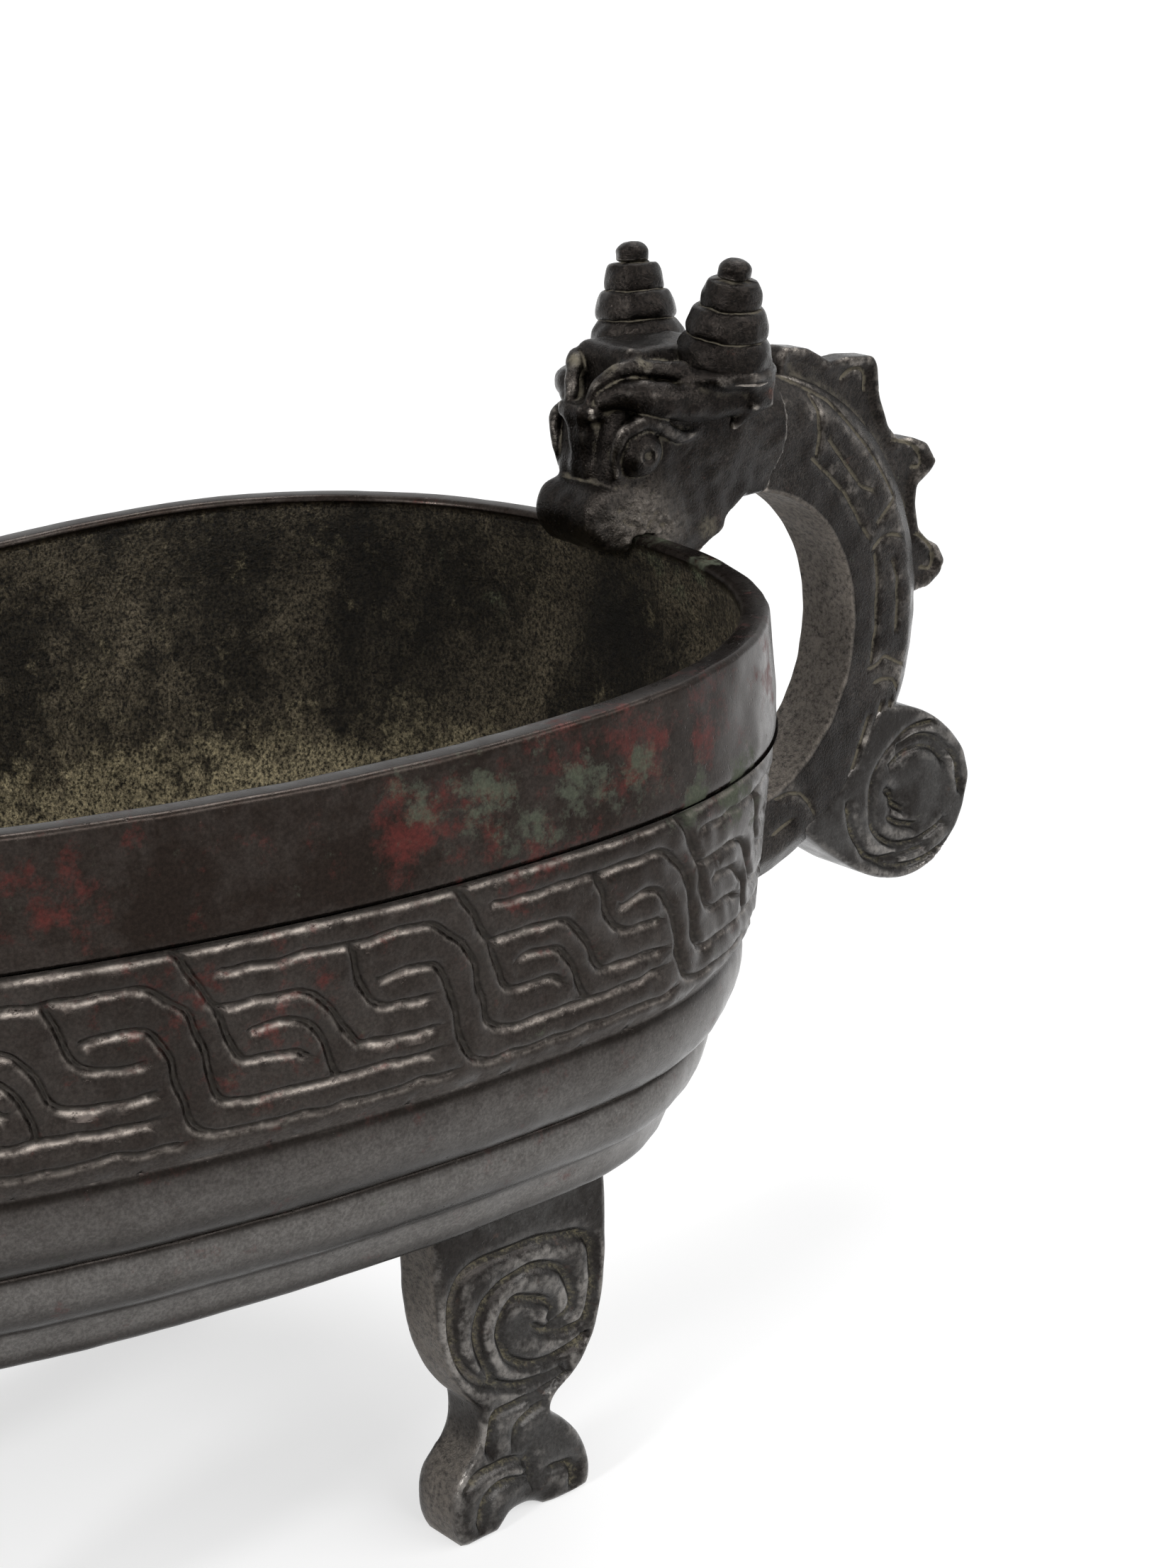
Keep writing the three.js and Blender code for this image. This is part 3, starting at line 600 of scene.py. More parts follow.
def make_bowl(material):
    low = rib_rows()
    high, first_inside = collar_and_inside_rows()
    count = len(low[0])
    faces = []

    def skin_rows(start, rows):
        for r in range(rows - 1):
            for c in range(count):
                a = start + r * count + c
                b = start + r * count + (c + 1) % count
                faces.append((a, b, b + count, a + count))

    skin_rows(0, len(low))
    skin_rows(len(low) * count, len(high))
    points = np.concatenate(low + high)
    plain = len(points)
    start = (len(low) + first_inside) * count
    inside = np.zeros(plain)
    inside[start:] = 1
    corrode(points[start:plain], np.repeat(np.arange(len(high) - first_inside), count))
    cast_unevenly(points[:start])
    band, band_faces, dust_and_shade, rubbed_and_highlight = band_mesh()
    faces += [tuple(f + plain) for f in band_faces]
    points = np.concatenate([points, band])
    hollow = np.concatenate([np.zeros(plain), dust_and_shade])
    ridge = np.concatenate([np.zeros(plain), rubbed_and_highlight])
    inside = np.concatenate([inside, np.zeros(len(band))])
    points, faces, first = welded(points, faces)
    inside = inside[first]
    sheen = np.interp(points[:, 2], *np.array(SHEEN).T)
    # Painted shade: each rib darker at its lower half and just under the next; it also keeps the sheen
    # off there.
    shade = rib_shade(points[:, 2])
    marks = {"hollow": hollow[first], "inside": inside, "ridge": ridge[first],
             # the lighter sheen, kept to each rib's upper middle: polish and a painted highlight
             "polish_and_painted_sheen": sheen * (1 - 0.85 * shade) * (1 - inside),
             # painted shade on the ribs outside; darker patches at DARK_PLACES inside
             "dark": mix(0.55 * shade, spots(points, DARK_PLACES), inside),
             "red": red_marks(points, inside), "green": green_marks(points, inside)}
    piece("bowl_cast", points, faces, material, ["bowl"], marks, dust_and_shade_share=0.6)


def spots(points, places):
    """Soft patches round the given places: x, y, z, radius and strength."""
    out = np.zeros(len(points))
    for x, y, z, radius, strength in places:
        away = np.linalg.norm(points - [x, y, z], axis=1) / radius
        out = np.maximum(out, strength * np.exp(-away ** 2))
    return out


# Share of the lighter Sheen colour by height, more on the lower ribs: the metal's own grey, which
# make_bowl keeps off each rib's painted-shade lower half, so that it also paints a highlight.
SHEEN = [(74, 1), (85, 0.9), (92, 0.7), (100, 0.3), (104, 0.1), (BAND_TOP, 0.08), (BAND_TOP + 1, 0)]
RED_PLACES = [
    (-41, -78, 146, 5, 1), (-36, -78.4, 150, 7, 0.8), (-24, -79.8, 148, 6, 0.75),
    (8, -80.6, 149, 9, 0.6), (-5, -80.6, 154, 7, 0.7), (-14, -81, 136, 8, 0.45),
    (-60, -75, 120, 12, 0.35), (-75, -72, 128, 12, 0.35), (25, -79, 150, 10, 0.55),
    (-95, -64, 150, 14, 0.4), (50, -66, 150, 10, 0.5),
]
GREEN_PLACES = [
    (-35, -78.4, 151, 6, 0.7), (-22, -79.6, 150, 7, 0.75), (-14, -81, 142, 7, 0.7),
    (-5, -80.6, 148, 7, 0.75), (8, -80.6, 146, 6, 0.7), (22, -79.8, 137.5, 5, 1.0),
    (36, -75.5, 134.6, 6, 1.1), (45, -70, 128, 7, 0.6), (82, -12, 158, 6, 1),
    (74, -30, 158, 5, 0.8), (76, -22, 150, 9, 0.6), (70, 30, 140, 12, 0.3),
]
DARK_PLACES = [(66, 46, 126, 26, 0.7), (80, 0, 140, 15, 0.85), (60, 52, 150, 20, 0.5)]


def red_marks(points, inside):
    """Red on the outside. Inside, the mark stands for pale earth, thicker towards the floor."""
    return mix(spots(points, RED_PLACES), 1.25 * smooth((124 - points[:, 2]) / 36), inside)


def green_marks(points, inside):
    """Green patches, and some more green all over the floor inside."""
    return spots(points, GREEN_PLACES) + inside * 0.3 * smooth((100 - points[:, 2]) / 30)


# Plates: legs, loop, crest and tail, drawn from the side in X and Z

def plate(outline, half_width, grooves, edge, fill, groove_half, groove_depth, dust_and_shade=1.0, far_carved=True):
    """A closed plate with rounded edges. half_width is a function of X and Z.

    edge is its edges' radius, fill the distance between points, groove_half half a groove's width.
    Grooves are carved into both faces, or into the near one. dust_and_shade is how much dust and painted
    shade lies in them."""
    outline = dense(outline, 1.0)[:-1]
    following = np.roll(outline, -1, axis=0)
    if np.sum(outline[:, 0] * following[:, 1] - outline[:, 1] * following[:, 0]) < 0:
        outline = outline[::-1]
    ring = np.concatenate([outline[-1:], outline, outline[:1]])
    rim_tree = tree_of([np.concatenate([outline, outline[:1]])])
    keep = []
    for share in EDGE_SHARES:
        row = beside(ring, edge * share)[1:-1]
        keep.append(row[distances(rim_tree, row) > 0.96 * edge * share])
    flat, faces, near, _ = carved_sheet(outline, grooves, groove_half, fill, keep=np.concatenate(keep))
    to_rim = distances(rim_tree, flat)
    turned = np.maximum(edge - to_rim, 0)
    full = half_width(flat[:, 0], flat[:, 1]) - (edge - np.sqrt(np.maximum(edge ** 2 - turned ** 2, 0)))
    carve = groove_depth * (1 - np.clip(near / groove_half, 0, 1)) ** 1.4 * smooth((to_rim - 0.3) / edge)
    in_groove = dust_and_shade * np.exp(-(near / 0.45) ** 2)
    count = len(flat)
    spread = np.stack([flat[:, 0], flat[:, 1], np.zeros(count)], 1)
    near_y = -(full - carve + 0.06 * waves(spread, 7, 51))
    far_y = full - (carve if far_carved else 0) + 0.06 * waves(spread + 40, 7, 52)
    face = flat[faces]
    sign = np.cross(face[:, 1] - face[:, 0], face[:, 2] - face[:, 0])
    faces = np.where((sign > 0)[:, None], faces, faces[:, ::-1])
    at = {tuple(np.round(p, 4)): i for i, p in enumerate(flat) if to_rim[i] < 1e-3}
    loop = np.array([at[key] for key in (tuple(np.round(p, 4)) for p in outline) if key in at])
    parts = [np.stack([flat[:, 0], y, flat[:, 1]], 1) for y in (near_y, far_y)]
    rings = [loop]
    for share in (0.2, 0.4, 0.6, 0.8):
        rings.append(2 * count + (len(rings) - 1) * len(loop) + np.arange(len(loop)))
        parts.append(np.stack([flat[loop, 0], mix(near_y[loop], far_y[loop], share), flat[loop, 1]], 1))
    rings.append(loop + count)
    points = np.concatenate(parts)
    hollow = np.concatenate([in_groove, in_groove, np.zeros(len(points) - 2 * count)])
    all_faces = [tuple(f) for f in faces] + [tuple(f[::-1] + count) for f in faces]
    for a, b in zip(rings[:-1], rings[1:]):
        all_faces += zip(a, b, np.roll(b, -1), np.roll(a, -1))
    return points, all_faces, {"hollow": hollow}


def bezier(*points, count=14):
    """Points on a curve with two, three or four control points, without the first."""
    points = [np.array(p, dtype=float) for p in points]
    t = np.linspace(0, 1, count + 1)[1:, None]
    while len(points) > 1:
        points = [mix(a, b, t) for a, b in zip(points[:-1], points[1:])]
    return points[0]


LEG_X = 1.2
LEG_THICKNESS = 10.9
LEG_TOP = 66
FRONT_LEG_X = -114
LEG_GROOVES = [
    [(10.9, 26.3), (5.5, 26.2), (0.2, 27.1), (-2.5, 28.2), (-5.5, 29.8), (-7.7, 31), (-10, 32.5),
     (-12.5, 35.5), (-14, 38), (-15, 41), (-15.2, 44), (-15.2, 48), (-14.5, 52), (-12.5, 54),
     (-9, 55), (-4, 54.9), (0, 54.6), (5, 54.4), (8.2, 53.6), (11.8, 52.8), (14, 52.3),
     (16.1, 51.4), (17.7, 49.6), (18.1, 47), (18.3, 44), (18.5, 42), (18.2, 39.8), (17.7, 37.5),
     (17, 35.7), (15.7, 33.9), (14.5, 33.5), (12.7, 33.6), (10.9, 33.8), (9.3, 34.4), (7.3, 35.1),
     (5.5, 36.2), (3.9, 37.5)],
    [(-5.5, 30.3), (-6.6, 32.3), (-7.8, 35), (-8.8, 37.5), (-9.4, 40), (-9.4, 42.5), (-8.6, 45.5),
     (-7, 47.1), (-5, 48.5), (-2.5, 49), (0.9, 49.6), (3.6, 49.6), (6.4, 48.9), (8.9, 47.8),
     (10.9, 46.4), (11.8, 44.8), (12.7, 42.5), (13.4, 40.7), (13.4, 38.7), (12.3, 37.1),
     (9.8, 36.3), (7.7, 36.1)],
    [(16.8, 30.8), (15, 30.3), (12.7, 29.8), (9.3, 29.4), (5.9, 29.5), (3.6, 30), (1.4, 31),
     (-0.9, 32.3), (-2.7, 34.4), (-3.4, 36.4), (-4.1, 38.7), (-4.1, 41), (-3.2, 43), (-1.4, 44.4),
     (0, 44.6), (2, 43.9), (3.6, 43.2), (5.5, 42.3), (7.7, 41), (8.9, 39.6), (8, 38.2)],
    [(-6.75, 17), (-7, 20), (-6.25, 22.75), (-5, 23.75), (-1.5, 23.5), (4, 23.5), (8, 23.75),
     (12, 24.75)],
    [(-0.75, 16.5), (-0.5, 18), (0, 19.25), (1.5, 20), (4, 20.75), (6, 20.9)],
    [(-9.5, 3.5), (-9.25, 4.5), (-9, 7), (-7.5, 8.5), (-5, 9.25), (-2.5, 8.9), (0, 8)],
    [(-14, 11.5), (-10, 13), (-5, 13.3), (0, 12.5), (1.8, 10.5)],
    [(2, 12), (2.5, 9.5), (2.75, 7)],
    [(7.5, 7.1), (10, 6.75), (11.75, 6.4), (12.75, 5.5), (13, 3.5), (12.75, 1.5)],
]


def leg_outline():
    """A leg seen from its side: two claws below, a waist, and a broad top."""
    return np.concatenate([np.array(part, dtype=float) for part in (
        [(-14.6, 0), (-7, 0)],
        bezier((-7, 0), (-1, 3.8), (5, 0)),
        [(15.6, 0)],
        bezier((15.6, 0), (17.2, 6.9), (12.8, 13.8), (8.4, 17.25)),
        bezier((8.4, 17.25), (4.5, 20.25), (10.2, 23)),
        bezier((10.2, 23), (17.5, 26.5), (20.4, 36), (20.4, 47)),
        [(20.4, LEG_TOP), (-20.4, LEG_TOP), (-19.6, 50)],
        bezier((-19.6, 50), (-19, 39), (-14.6, 31), (-9.8, 26.2)),
        bezier((-9.8, 26.2), (-8.9, 20.5), (-11.3, 17.25)),
        bezier((-11.3, 17.25), (-17.2, 13.25), (-17.5, 5.2), (-14.6, 0)),
    )])


def make_legs(material):
    grooves = [rounded(line, 3) - [LEG_X, 0] for line in LEG_GROOVES]
    half = LEG_THICKNESS / 2

    def thickness(x, z):
        centre = 0.9 * np.exp(-(((x + 2) / 2.6) ** 2 + ((z - 40) / 3.2) ** 2))
        arch = 1.2 * np.exp(-(((x - 0.5) / 5.5) ** 4 + ((z - 1.5) / 3.4) ** 2))
        lobes = 0.5 * smooth((15 - z) / 3)
        return half - 0.4 * smooth((z - 52) / 12) - centre - arch + lobes

    points, faces, marks = plate(leg_outline(), thickness, grooves, edge=1.6, fill=1.3, groove_half=2.1,
                                 groove_depth=1.8, dust_and_shade=0.15, far_carved=False)
    slope = math.atan(-2 * TAPER * FRONT_LEG_X)
    front_edge = smooth((-9 - points[:, 0]) / 3) * smooth((half - 0.8 - np.abs(points[:, 1])) / 0.8)
    marks["granular"] = 0.6 * front_edge
    for end, x, turn in (("rear", LEG_X, 0), ("front", FRONT_LEG_X, slope)):
        for side in ("right", "left"):
            name = f"leg_{end}_{side}"
            low, high = (np.array(corner) * 1000 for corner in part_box(name))
            middle = -abs(low[1] + high[1]) / 2
            placed = points @ np.array(Matrix.Rotation(-turn, 3, "Z")).T + [x, middle, 0]
            piece(name + "_cast", placed, faces, material, [name], marks,
                  mirror=side == "left", dust_and_shade_share=0.8)


def on_loop(radius, angle):
    """X and Z at a radius and angle, in degrees, from the loop's middle."""
    turn = np.radians(angle)
    return np.stack([LOOP_X + radius * np.cos(turn), LOOP_Z + radius * np.sin(turn)], axis=-1)


def loop_slimming(angle):
    """How much thinner the loop is below the tail."""
    return LOOP_SLIMMING * smooth((-54 - angle) / 8)


def wall_behind(z):
    """X of the bowl's outside behind, a little sunk, for what is cast on to it."""
    heights = RIB_FEET + [BAND_FOOT + 3, BAND_TOP]
    insets = RIB_INSETS + [0.2, -1.2]
    return REAR_LENGTH - np.interp(z, heights, insets) - 1.8


LOOP_LINES = [
    [(114.5, 186), (125, 181), (130, 178.5), (135, 176), (140, 171), (146, 165), (150, 160),
     (154.5, 153.5)],
    [(129, 178), (130.5, 174), (131, 170), (130, 166)],
    [(129.3, 164.8), (134, 161), (139, 156.5), (143, 151), (146.6, 146)],
    [(150, 148.5), (155, 152.5)],
    [(134, 168), (140, 161.5), (144, 157), (147.5, 155.5)],
    [(149, 143), (151, 144.5), (154, 145), (156.5, 144.3)],
    [(149.3, 141), (150.3, 135), (150.2, 125), (149.2, 118)],
    [(148.8, 116.5), (151.5, 116.8), (153.5, 118.5), (156, 117), (159.5, 115.2)],
    [(155.3, 138.5), (156.5, 135), (157, 130), (156.8, 124)],
    [(150.5, 113), (153, 113.4), (156.5, 112.5), (157.8, 110.5)],
    [(148.6, 105.5), (147, 101.5), (145.3, 97.5), (143.3, 93.6)],
    [(152.7, 107.4), (151.2, 103), (149.8, 99), (148.5, 96)],
    [(155.8, 107), (154.9, 102.4), (153, 98.9), (150.8, 94.6)],
    [(143.2, 91.9), (147.4, 92.7)],
    [(144.6, 87.7), (145.8, 88.3), (148, 88.5)],
    [(120.5, 94), (124, 94.5), (128, 93.5), (130.5, 91), (132, 88.5)],
    [(120, 86.5), (125, 88)],
]


def make_loop(material):
    angles = np.arange(LOOP_START, -156, -1.2)
    inner = on_loop(LOOP_INNER, angles)
    outer = on_loop(LOOP_CROWN - loop_slimming(angles), angles)
    inner = inner[inner[:, 0] > wall_behind(inner[:, 1])]
    outer = outer[outer[:, 0] > wall_behind(outer[:, 1])]
    z = np.linspace(inner[-1, 1], outer[-1, 1], 12)[1:-1]
    outline = np.concatenate([inner, np.stack([wall_behind(z), z], 1), outer[::-1], inner[:1]])

    def thickness(x, z):
        radius = np.hypot(x - LOOP_X, z - LOOP_Z)
        angle = np.degrees(np.arctan2(z - LOOP_Z, x - LOOP_X))
        angle = np.where(angle > 100, angle - 360, angle)
        edge = LOOP_OUTER - loop_slimming(angle)
        slope = np.clip((radius - edge) / (LOOP_CROWN - LOOP_OUTER), 0, 1)
        return mix(LOOP_HALF_WIDTH, CREST_HALF_WIDTH + 1.2, slope ** 1.15)

    grooves = [rounded(line, 1) for line in LOOP_LINES]
    points, faces, marks = plate(outline, thickness, grooves, edge=0.9, fill=1.4, groove_half=0.8,
                                 groove_depth=0.6, dust_and_shade=0.8)
    radius = np.hypot(points[:, 0] - LOOP_X, points[:, 2] - LOOP_Z)
    marks["granular"] = smooth((LOOP_INNER + 0.9 - radius) / 0.8)
    piece("loop_cast", points, faces, material, ["handle_loop"], marks)


# The crest's outline and curls: height above the loop's back, and angle
CREST = [
    (-4, 76), (3.5, 76), (5.4, 75.1), (6.4, 69), (6.0, 61.7), (9.0, 57.7), (12.7, 51.9),
    (11.9, 50.1), (7.5, 45.5), (5.3, 39.3), (6.0, 34.7), (9.7, 32.3), (12.9, 28.8), (13.8, 24.4),
    (11.3, 23.5), (6.3, 23.2), (4.7, 20.0), (4.3, 14.4), (6.6, 11.2), (9.9, 9.0), (11.8, 5.5),
    (10.3, 3.1), (6.1, 1.4), (0.7, 1.3), (-4, 1.3),
]
CREST_CURLS = [
    [(6.2, 50), (9.2, 52), (8, 55.5), (4.5, 57)],
    [(4.5, 36), (8, 32.5), (10.4, 28), (9.4, 25.6), (7, 27)],
    [(3.5, 13.5), (6.5, 10.5), (8.6, 7), (7.6, 4.6), (5, 5.6)],
]


def make_crest(material):
    def at(rows):
        return np.array([on_loop(LOOP_CROWN + rise, angle) for rise, angle in rows])

    top = at(CREST)
    seat = on_loop(LOOP_CROWN - 4, np.linspace(1.3, 76, 40))
    outline = np.concatenate([rounded(top[1:-1], 1.0), seat, top[1:2]])
    curls = [rounded(at(rows), 3) for rows in CREST_CURLS]
    field = tree_of([outline])

    def thickness(x, z):
        rim = distances(field, np.stack([x, z], 1))
        base = np.hypot(x - LOOP_X, z - LOOP_Z) - LOOP_CROWN
        border = smooth((rim - 1.8) / 0.7) * smooth((base + 1.5) / 1.5)
        return CREST_HALF_WIDTH - 0.75 * border + 1.6 * smooth((0.8 - base) / 2.2)

    points, faces, marks = plate(outline, thickness, curls, edge=0.8, fill=1.0, groove_half=0.7,
                                 groove_depth=0.6)
    piece("crest_cast", points, faces, material, ["crest"], marks)


TAIL_OUTLINE = [
    (157.9, 106.3), (162, 105.1), (166.2, 103.6), (170.5, 101.4), (174.9, 98.3), (178.8, 94.6),
    (181.5, 91.4), (183.2, 87.7), (184.0, 84.6), (183.4, 80.5), (182.2, 76.2), (180.2, 72.8),
    (177.4, 69.8), (173.3, 66.6), (168.5, 65.3), (163.7, 64.9), (158.9, 65.7), (154.1, 67.2),
    (148.1, 70.2), (142.2, 74.1), (137.5, 77.5), (133.4, 80.8), (130.0, 84.2), (129.5, 86.5),
    (136, 88), (146, 97), (152, 107),
]
TAIL_GROOVES = [
    [(170.8, 99.6), (167.7, 99.7), (164.6, 99.7), (161.75, 99.25), (159.25, 98), (156.75, 96.4),
     (154.9, 94.9), (153, 93.3), (151.75, 91.4), (151, 89.3), (150.8, 86.1), (151, 83.6),
     (151.3, 80.5), (152.4, 78.6), (154.25, 76.75), (156.75, 74.9), (159.25, 73.6), (162.4, 72.8),
     (164.9, 72.5), (168, 72.5), (171.1, 73.3), (174.9, 74.9)],
    [(159.9, 95.8), (161.75, 96.4), (165.5, 97.2), (168, 96.9), (170.8, 96.1), (173.3, 94.6),
     (175.5, 92.4), (177.7, 91.1), (179.25, 88.6), (179.9, 86.4), (180.8, 82.1)],
    [(158, 92.4), (159.9, 93.6), (162.4, 94.4), (166.1, 94.7), (169.25, 94.25), (171.75, 93.2),
     (173.9, 91.4), (175.5, 89.6)],
    [(156.75, 86.75), (159.6, 84.9), (159.25, 83), (162.4, 81.1)],
    [(158.3, 79.9), (159.9, 78.6), (163, 77.4), (166.1, 76.4)],
    [(143.5, 86.75), (143.9, 84.25), (144.6, 81.4), (145.8, 78.9), (147.7, 76.4), (149.25, 73.9),
     (151.75, 72.4), (154.9, 71.4), (158, 71.3), (161.75, 70.8), (166.1, 70.7), (169.25, 70.8)],
    [(151.8, 72.3), (156.75, 69.4), (160.5, 68.5), (163, 67.8), (166.1, 67.5), (169.25, 67.7),
     (172.4, 68.2), (175.5, 69.25), (178, 70.8)],
]


def make_tail(material):
    outline = rounded(TAIL_OUTLINE, 3, closed=True)
    outline = np.concatenate([outline, outline[:1]])
    grooves = [rounded(line, 3) for line in TAIL_GROOVES]

    def thickness(x, z):
        away = np.hypot(x - TAIL_X, z - TAIL_Z)
        step = 0.7 * smooth((14 - away) / 2.5)
        pit = 1.0 * np.exp(-(((x - 160) / 3.6) ** 2 + ((z - 84) / 3) ** 2))
        return LOOP_HALF_WIDTH + 0.1 - step - pit

    points, faces, marks = plate(outline, thickness, grooves, edge=1.3, fill=1.1, groove_half=1.6,
                                 groove_depth=1.6, dust_and_shade=0.2)
    piece("tail_cast", points, faces, material, ["tail_scroll"], marks, dust_and_shade_share=0.8)


# Head, sculpted as a field of distances and then skinned

class Clay:
    """Distances, in mm, over a block of space. Shapes are added with soft joins, and cut."""

    def __init__(self, low, high, step):
        self.low, self.step = np.array(low, dtype=float), step
        counts = [int((b - a) / step) + 1 for a, b in zip(low, high)]
        axes = [low[k] + step * np.arange(counts[k]) for k in range(3)]
        self.x, self.y, self.z = (a.astype(np.float32) for a in np.meshgrid(*axes, indexing="ij"))
        self.side = np.abs(self.y)
        self.field = np.full(self.x.shape, FAR_AWAY, dtype=np.float32)

    def add(self, shape, soft=1.0):
        """Joins a shape on, with a fillet of about the size soft."""
        h = np.maximum(soft - np.abs(self.field - shape), 0) / max(soft, 1e-6)
        self.field = np.minimum(self.field, shape) - h * h * soft / 4

    def cut(self, shape, soft=0.6):
        h = np.maximum(soft - np.abs(-self.field - shape), 0) / max(soft, 1e-6)
        self.field = -(np.minimum(-self.field, shape) - h * h * soft / 4)

    def ball(self, centre, radii, tilt=0):
        """An egg shape. tilt turns it about Y, in degrees, front edge up."""
        x, y, z = self.x - centre[0], self.side - centre[1], self.z - centre[2]
        c, s = math.cos(math.radians(tilt)), math.sin(math.radians(tilt))
        x, z = x * c - z * s, x * s + z * c
        near = np.sqrt(sum((v / r) ** 2 for v, r in zip((x, y, z), radii))) + 1e-6
        slope = np.sqrt(sum((v / r ** 2) ** 2 for v, r in zip((x, y, z), radii))) + 1e-6
        return near * (near - 1) / slope

    def roll(self, points, radii):
        """A rope of changing thickness through points."""
        out = np.full(self.x.shape, FAR_AWAY, dtype=np.float32)
        for a, b, ra, rb in zip(points[:-1], points[1:], radii[:-1], radii[1:]):
            a, b = np.array(a, dtype=np.float32), np.array(b, dtype=np.float32)
            way = b - a
            x, y, z = self.x - a[0], self.side - a[1], self.z - a[2]
            t = np.clip((x * way[0] + y * way[1] + z * way[2]) / (way @ way), 0, 1)
            away = np.sqrt((x - t * way[0]) ** 2 + (y - t * way[1]) ** 2 + (z - t * way[2]) ** 2)
            out = np.minimum(out, away - mix(ra, rb, t))
        return out

    def curl(self, points, radii):
        """A roll along a smooth curve through points."""
        knots = np.array([[*p, r] for p, r in zip(points, radii)])
        ends = np.concatenate([[2 * knots[0] - knots[1]], knots, [2 * knots[-1] - knots[-2]]])
        path = []
        for a, b, c, d in zip(ends[:-3], ends[1:-2], ends[2:-1], ends[3:]):
            for t in (0, 0.25, 0.5, 0.75):
                turn = 2 * a - 5 * b + 4 * c - d + t * (3 * (b - c) + d - a)
                path.append(b + 0.5 * t * (c - a + t * turn))
        path = np.array(path + [knots[-1]])
        return self.roll(path[:, :3], path[:, 3])

    def block(self, centre, half, tilt=0, round_off=1.0):
        """A brick with rounded edges. half are its half sizes."""
        x, y, z = self.x - centre[0], self.side - centre[1], self.z - centre[2]
        c, s = math.cos(math.radians(tilt)), math.sin(math.radians(tilt))
        x, z = x * c - z * s, x * s + z * c
        q = [np.abs(v) - (h - round_off) for v, h in zip((x, y, z), half)]
        outside = np.sqrt(sum(np.maximum(v, 0) ** 2 for v in q))
        return outside + np.minimum(np.maximum(np.maximum(q[0], q[1]), q[2]), 0) - round_off

    def skin(self):
        """Quads on the surface where the distance is zero."""
        field, inside = self.field, self.field < 0
        cells = tuple(n - 1 for n in field.shape)
        total, count = np.zeros(cells + (3,)), np.zeros(cells)
        quads = []
        for axis in range(3):
            low = tuple(slice(None, -1) if k == axis else slice(None) for k in range(3))
            high = tuple(slice(1, None) if k == axis else slice(None) for k in range(3))
            where = np.argwhere(inside[low] != inside[high])
            fa, fb = field[low][tuple(where.T)], field[high][tuple(where.T)]
            spot = where.astype(float)
            spot[:, axis] += fa / (fa - fb)
            u, v = [k for k in range(3) if k != axis]
            ring = []
            for du, dv in ((0, 0), (-1, 0), (-1, -1), (0, -1)):
                cell = where.copy()
                cell[:, u] += du
                cell[:, v] += dv
                ring.append(cell)
                np.add.at(total, tuple(cell.T), spot)
                np.add.at(count, tuple(cell.T), 1)
            flat = np.stack([np.ravel_multi_index(tuple(cell.T), cells) for cell in ring], 1)
            turn = (fa < 0) != (axis == 1)
            quads.append(np.where(turn[:, None], flat, flat[:, ::-1]))
        quads = np.concatenate(quads)
        used, place = np.unique(quads, return_inverse=True)
        points = (total.reshape(-1, 3)[used] / count.ravel()[used][:, None]) * self.step + self.low
        return points, place.reshape(quads.shape)


BROW = [(72.9, 3.8, 185.3), (75.7, 7, 186.7), (79.3, 10, 186), (84.9, 11.5, 184.4), (91.1, 12.5, 183.3),
        (96.7, 14, 183.5), (100.5, 16, 184.3)]
UPPER_BROW = [(70.9, 2, 183.9), (72.3, 3, 187.3), (74.9, 5, 189.9), (77.6, 7, 191), (83.1, 8.5, 190.1),
              (88.8, 10, 189.2), (94.9, 11, 188), (100.7, 12.5, 187)]
SNOUT = (74.3, 0, 162.3)
SLOT_GAP = 0.15
EYE = (78.3, 7.9, 175)
LID = [(73.4, 7.6, 171), (72.8, 8.0, 175), (73.6, 9.4, 179), (77.5, 10.4, 181), (81.5, 10.8, 180),
       (85, 10.9, 177.8), (88.5, 10.6, 176.6), (93.3, 10, 177.4)]
EYE_CREASE = [(75.5, 10.6, 168.6), (81, 11.2, 168), (86.5, 11, 170.6), (90.5, 10.6, 173.5)]
NOSE_CREASE = [(72.9, 8.8, 182), (72.4, 8.4, 173), (73.6, 8, 168.5)]
HEAD_DUST = [
    (74.5, -5, 191, 2, 0.7), (79, -9.5, 192, 2, 0.6), (90, -10, 191.6, 3, 0.5),
    (98, -13, 189, 3, 0.6), (72, -3.5, 184.6, 1.6, 0.6), (97, -9, 157, 3, 0.6),
]
HEAD_RED = [(103, -17.5, 184.5, 3, 1)]
HEAD_ROUGH = [(79, -9.5, 159.5, 7, 1.2), (86, -9.5, 158.5, 4.5, 0.8), (74, -8, 162, 5, 0.8)]


def sculpt_skull(clay):
    clay.add(clay.ball((92, 0, 176), (19, 10.4, 18)), 0.1)
    clay.add(clay.ball((104, 0, 174), (15, 9.2, 15)), 6)
    clay.add(clay.roll([(104, 0, 174), (117.5, 0, 172.8)], [10.8, 11.2]), 4)
    clay.add(clay.block((112, 0, 168.4), (7, 8, 7.8), 0, 2), 3)
    clay.add(clay.block((92, 0, 166), (11, 8.9, 12), 0, 3), 3)
    clay.add(clay.block((80.5, 0, 176), (8.2, 8.0, 9.4), 8, 3), 3)
    clay.add(clay.block((88, 0, 189.5), (11.5, 8.2, 4.4), 3, 2.5), 3)


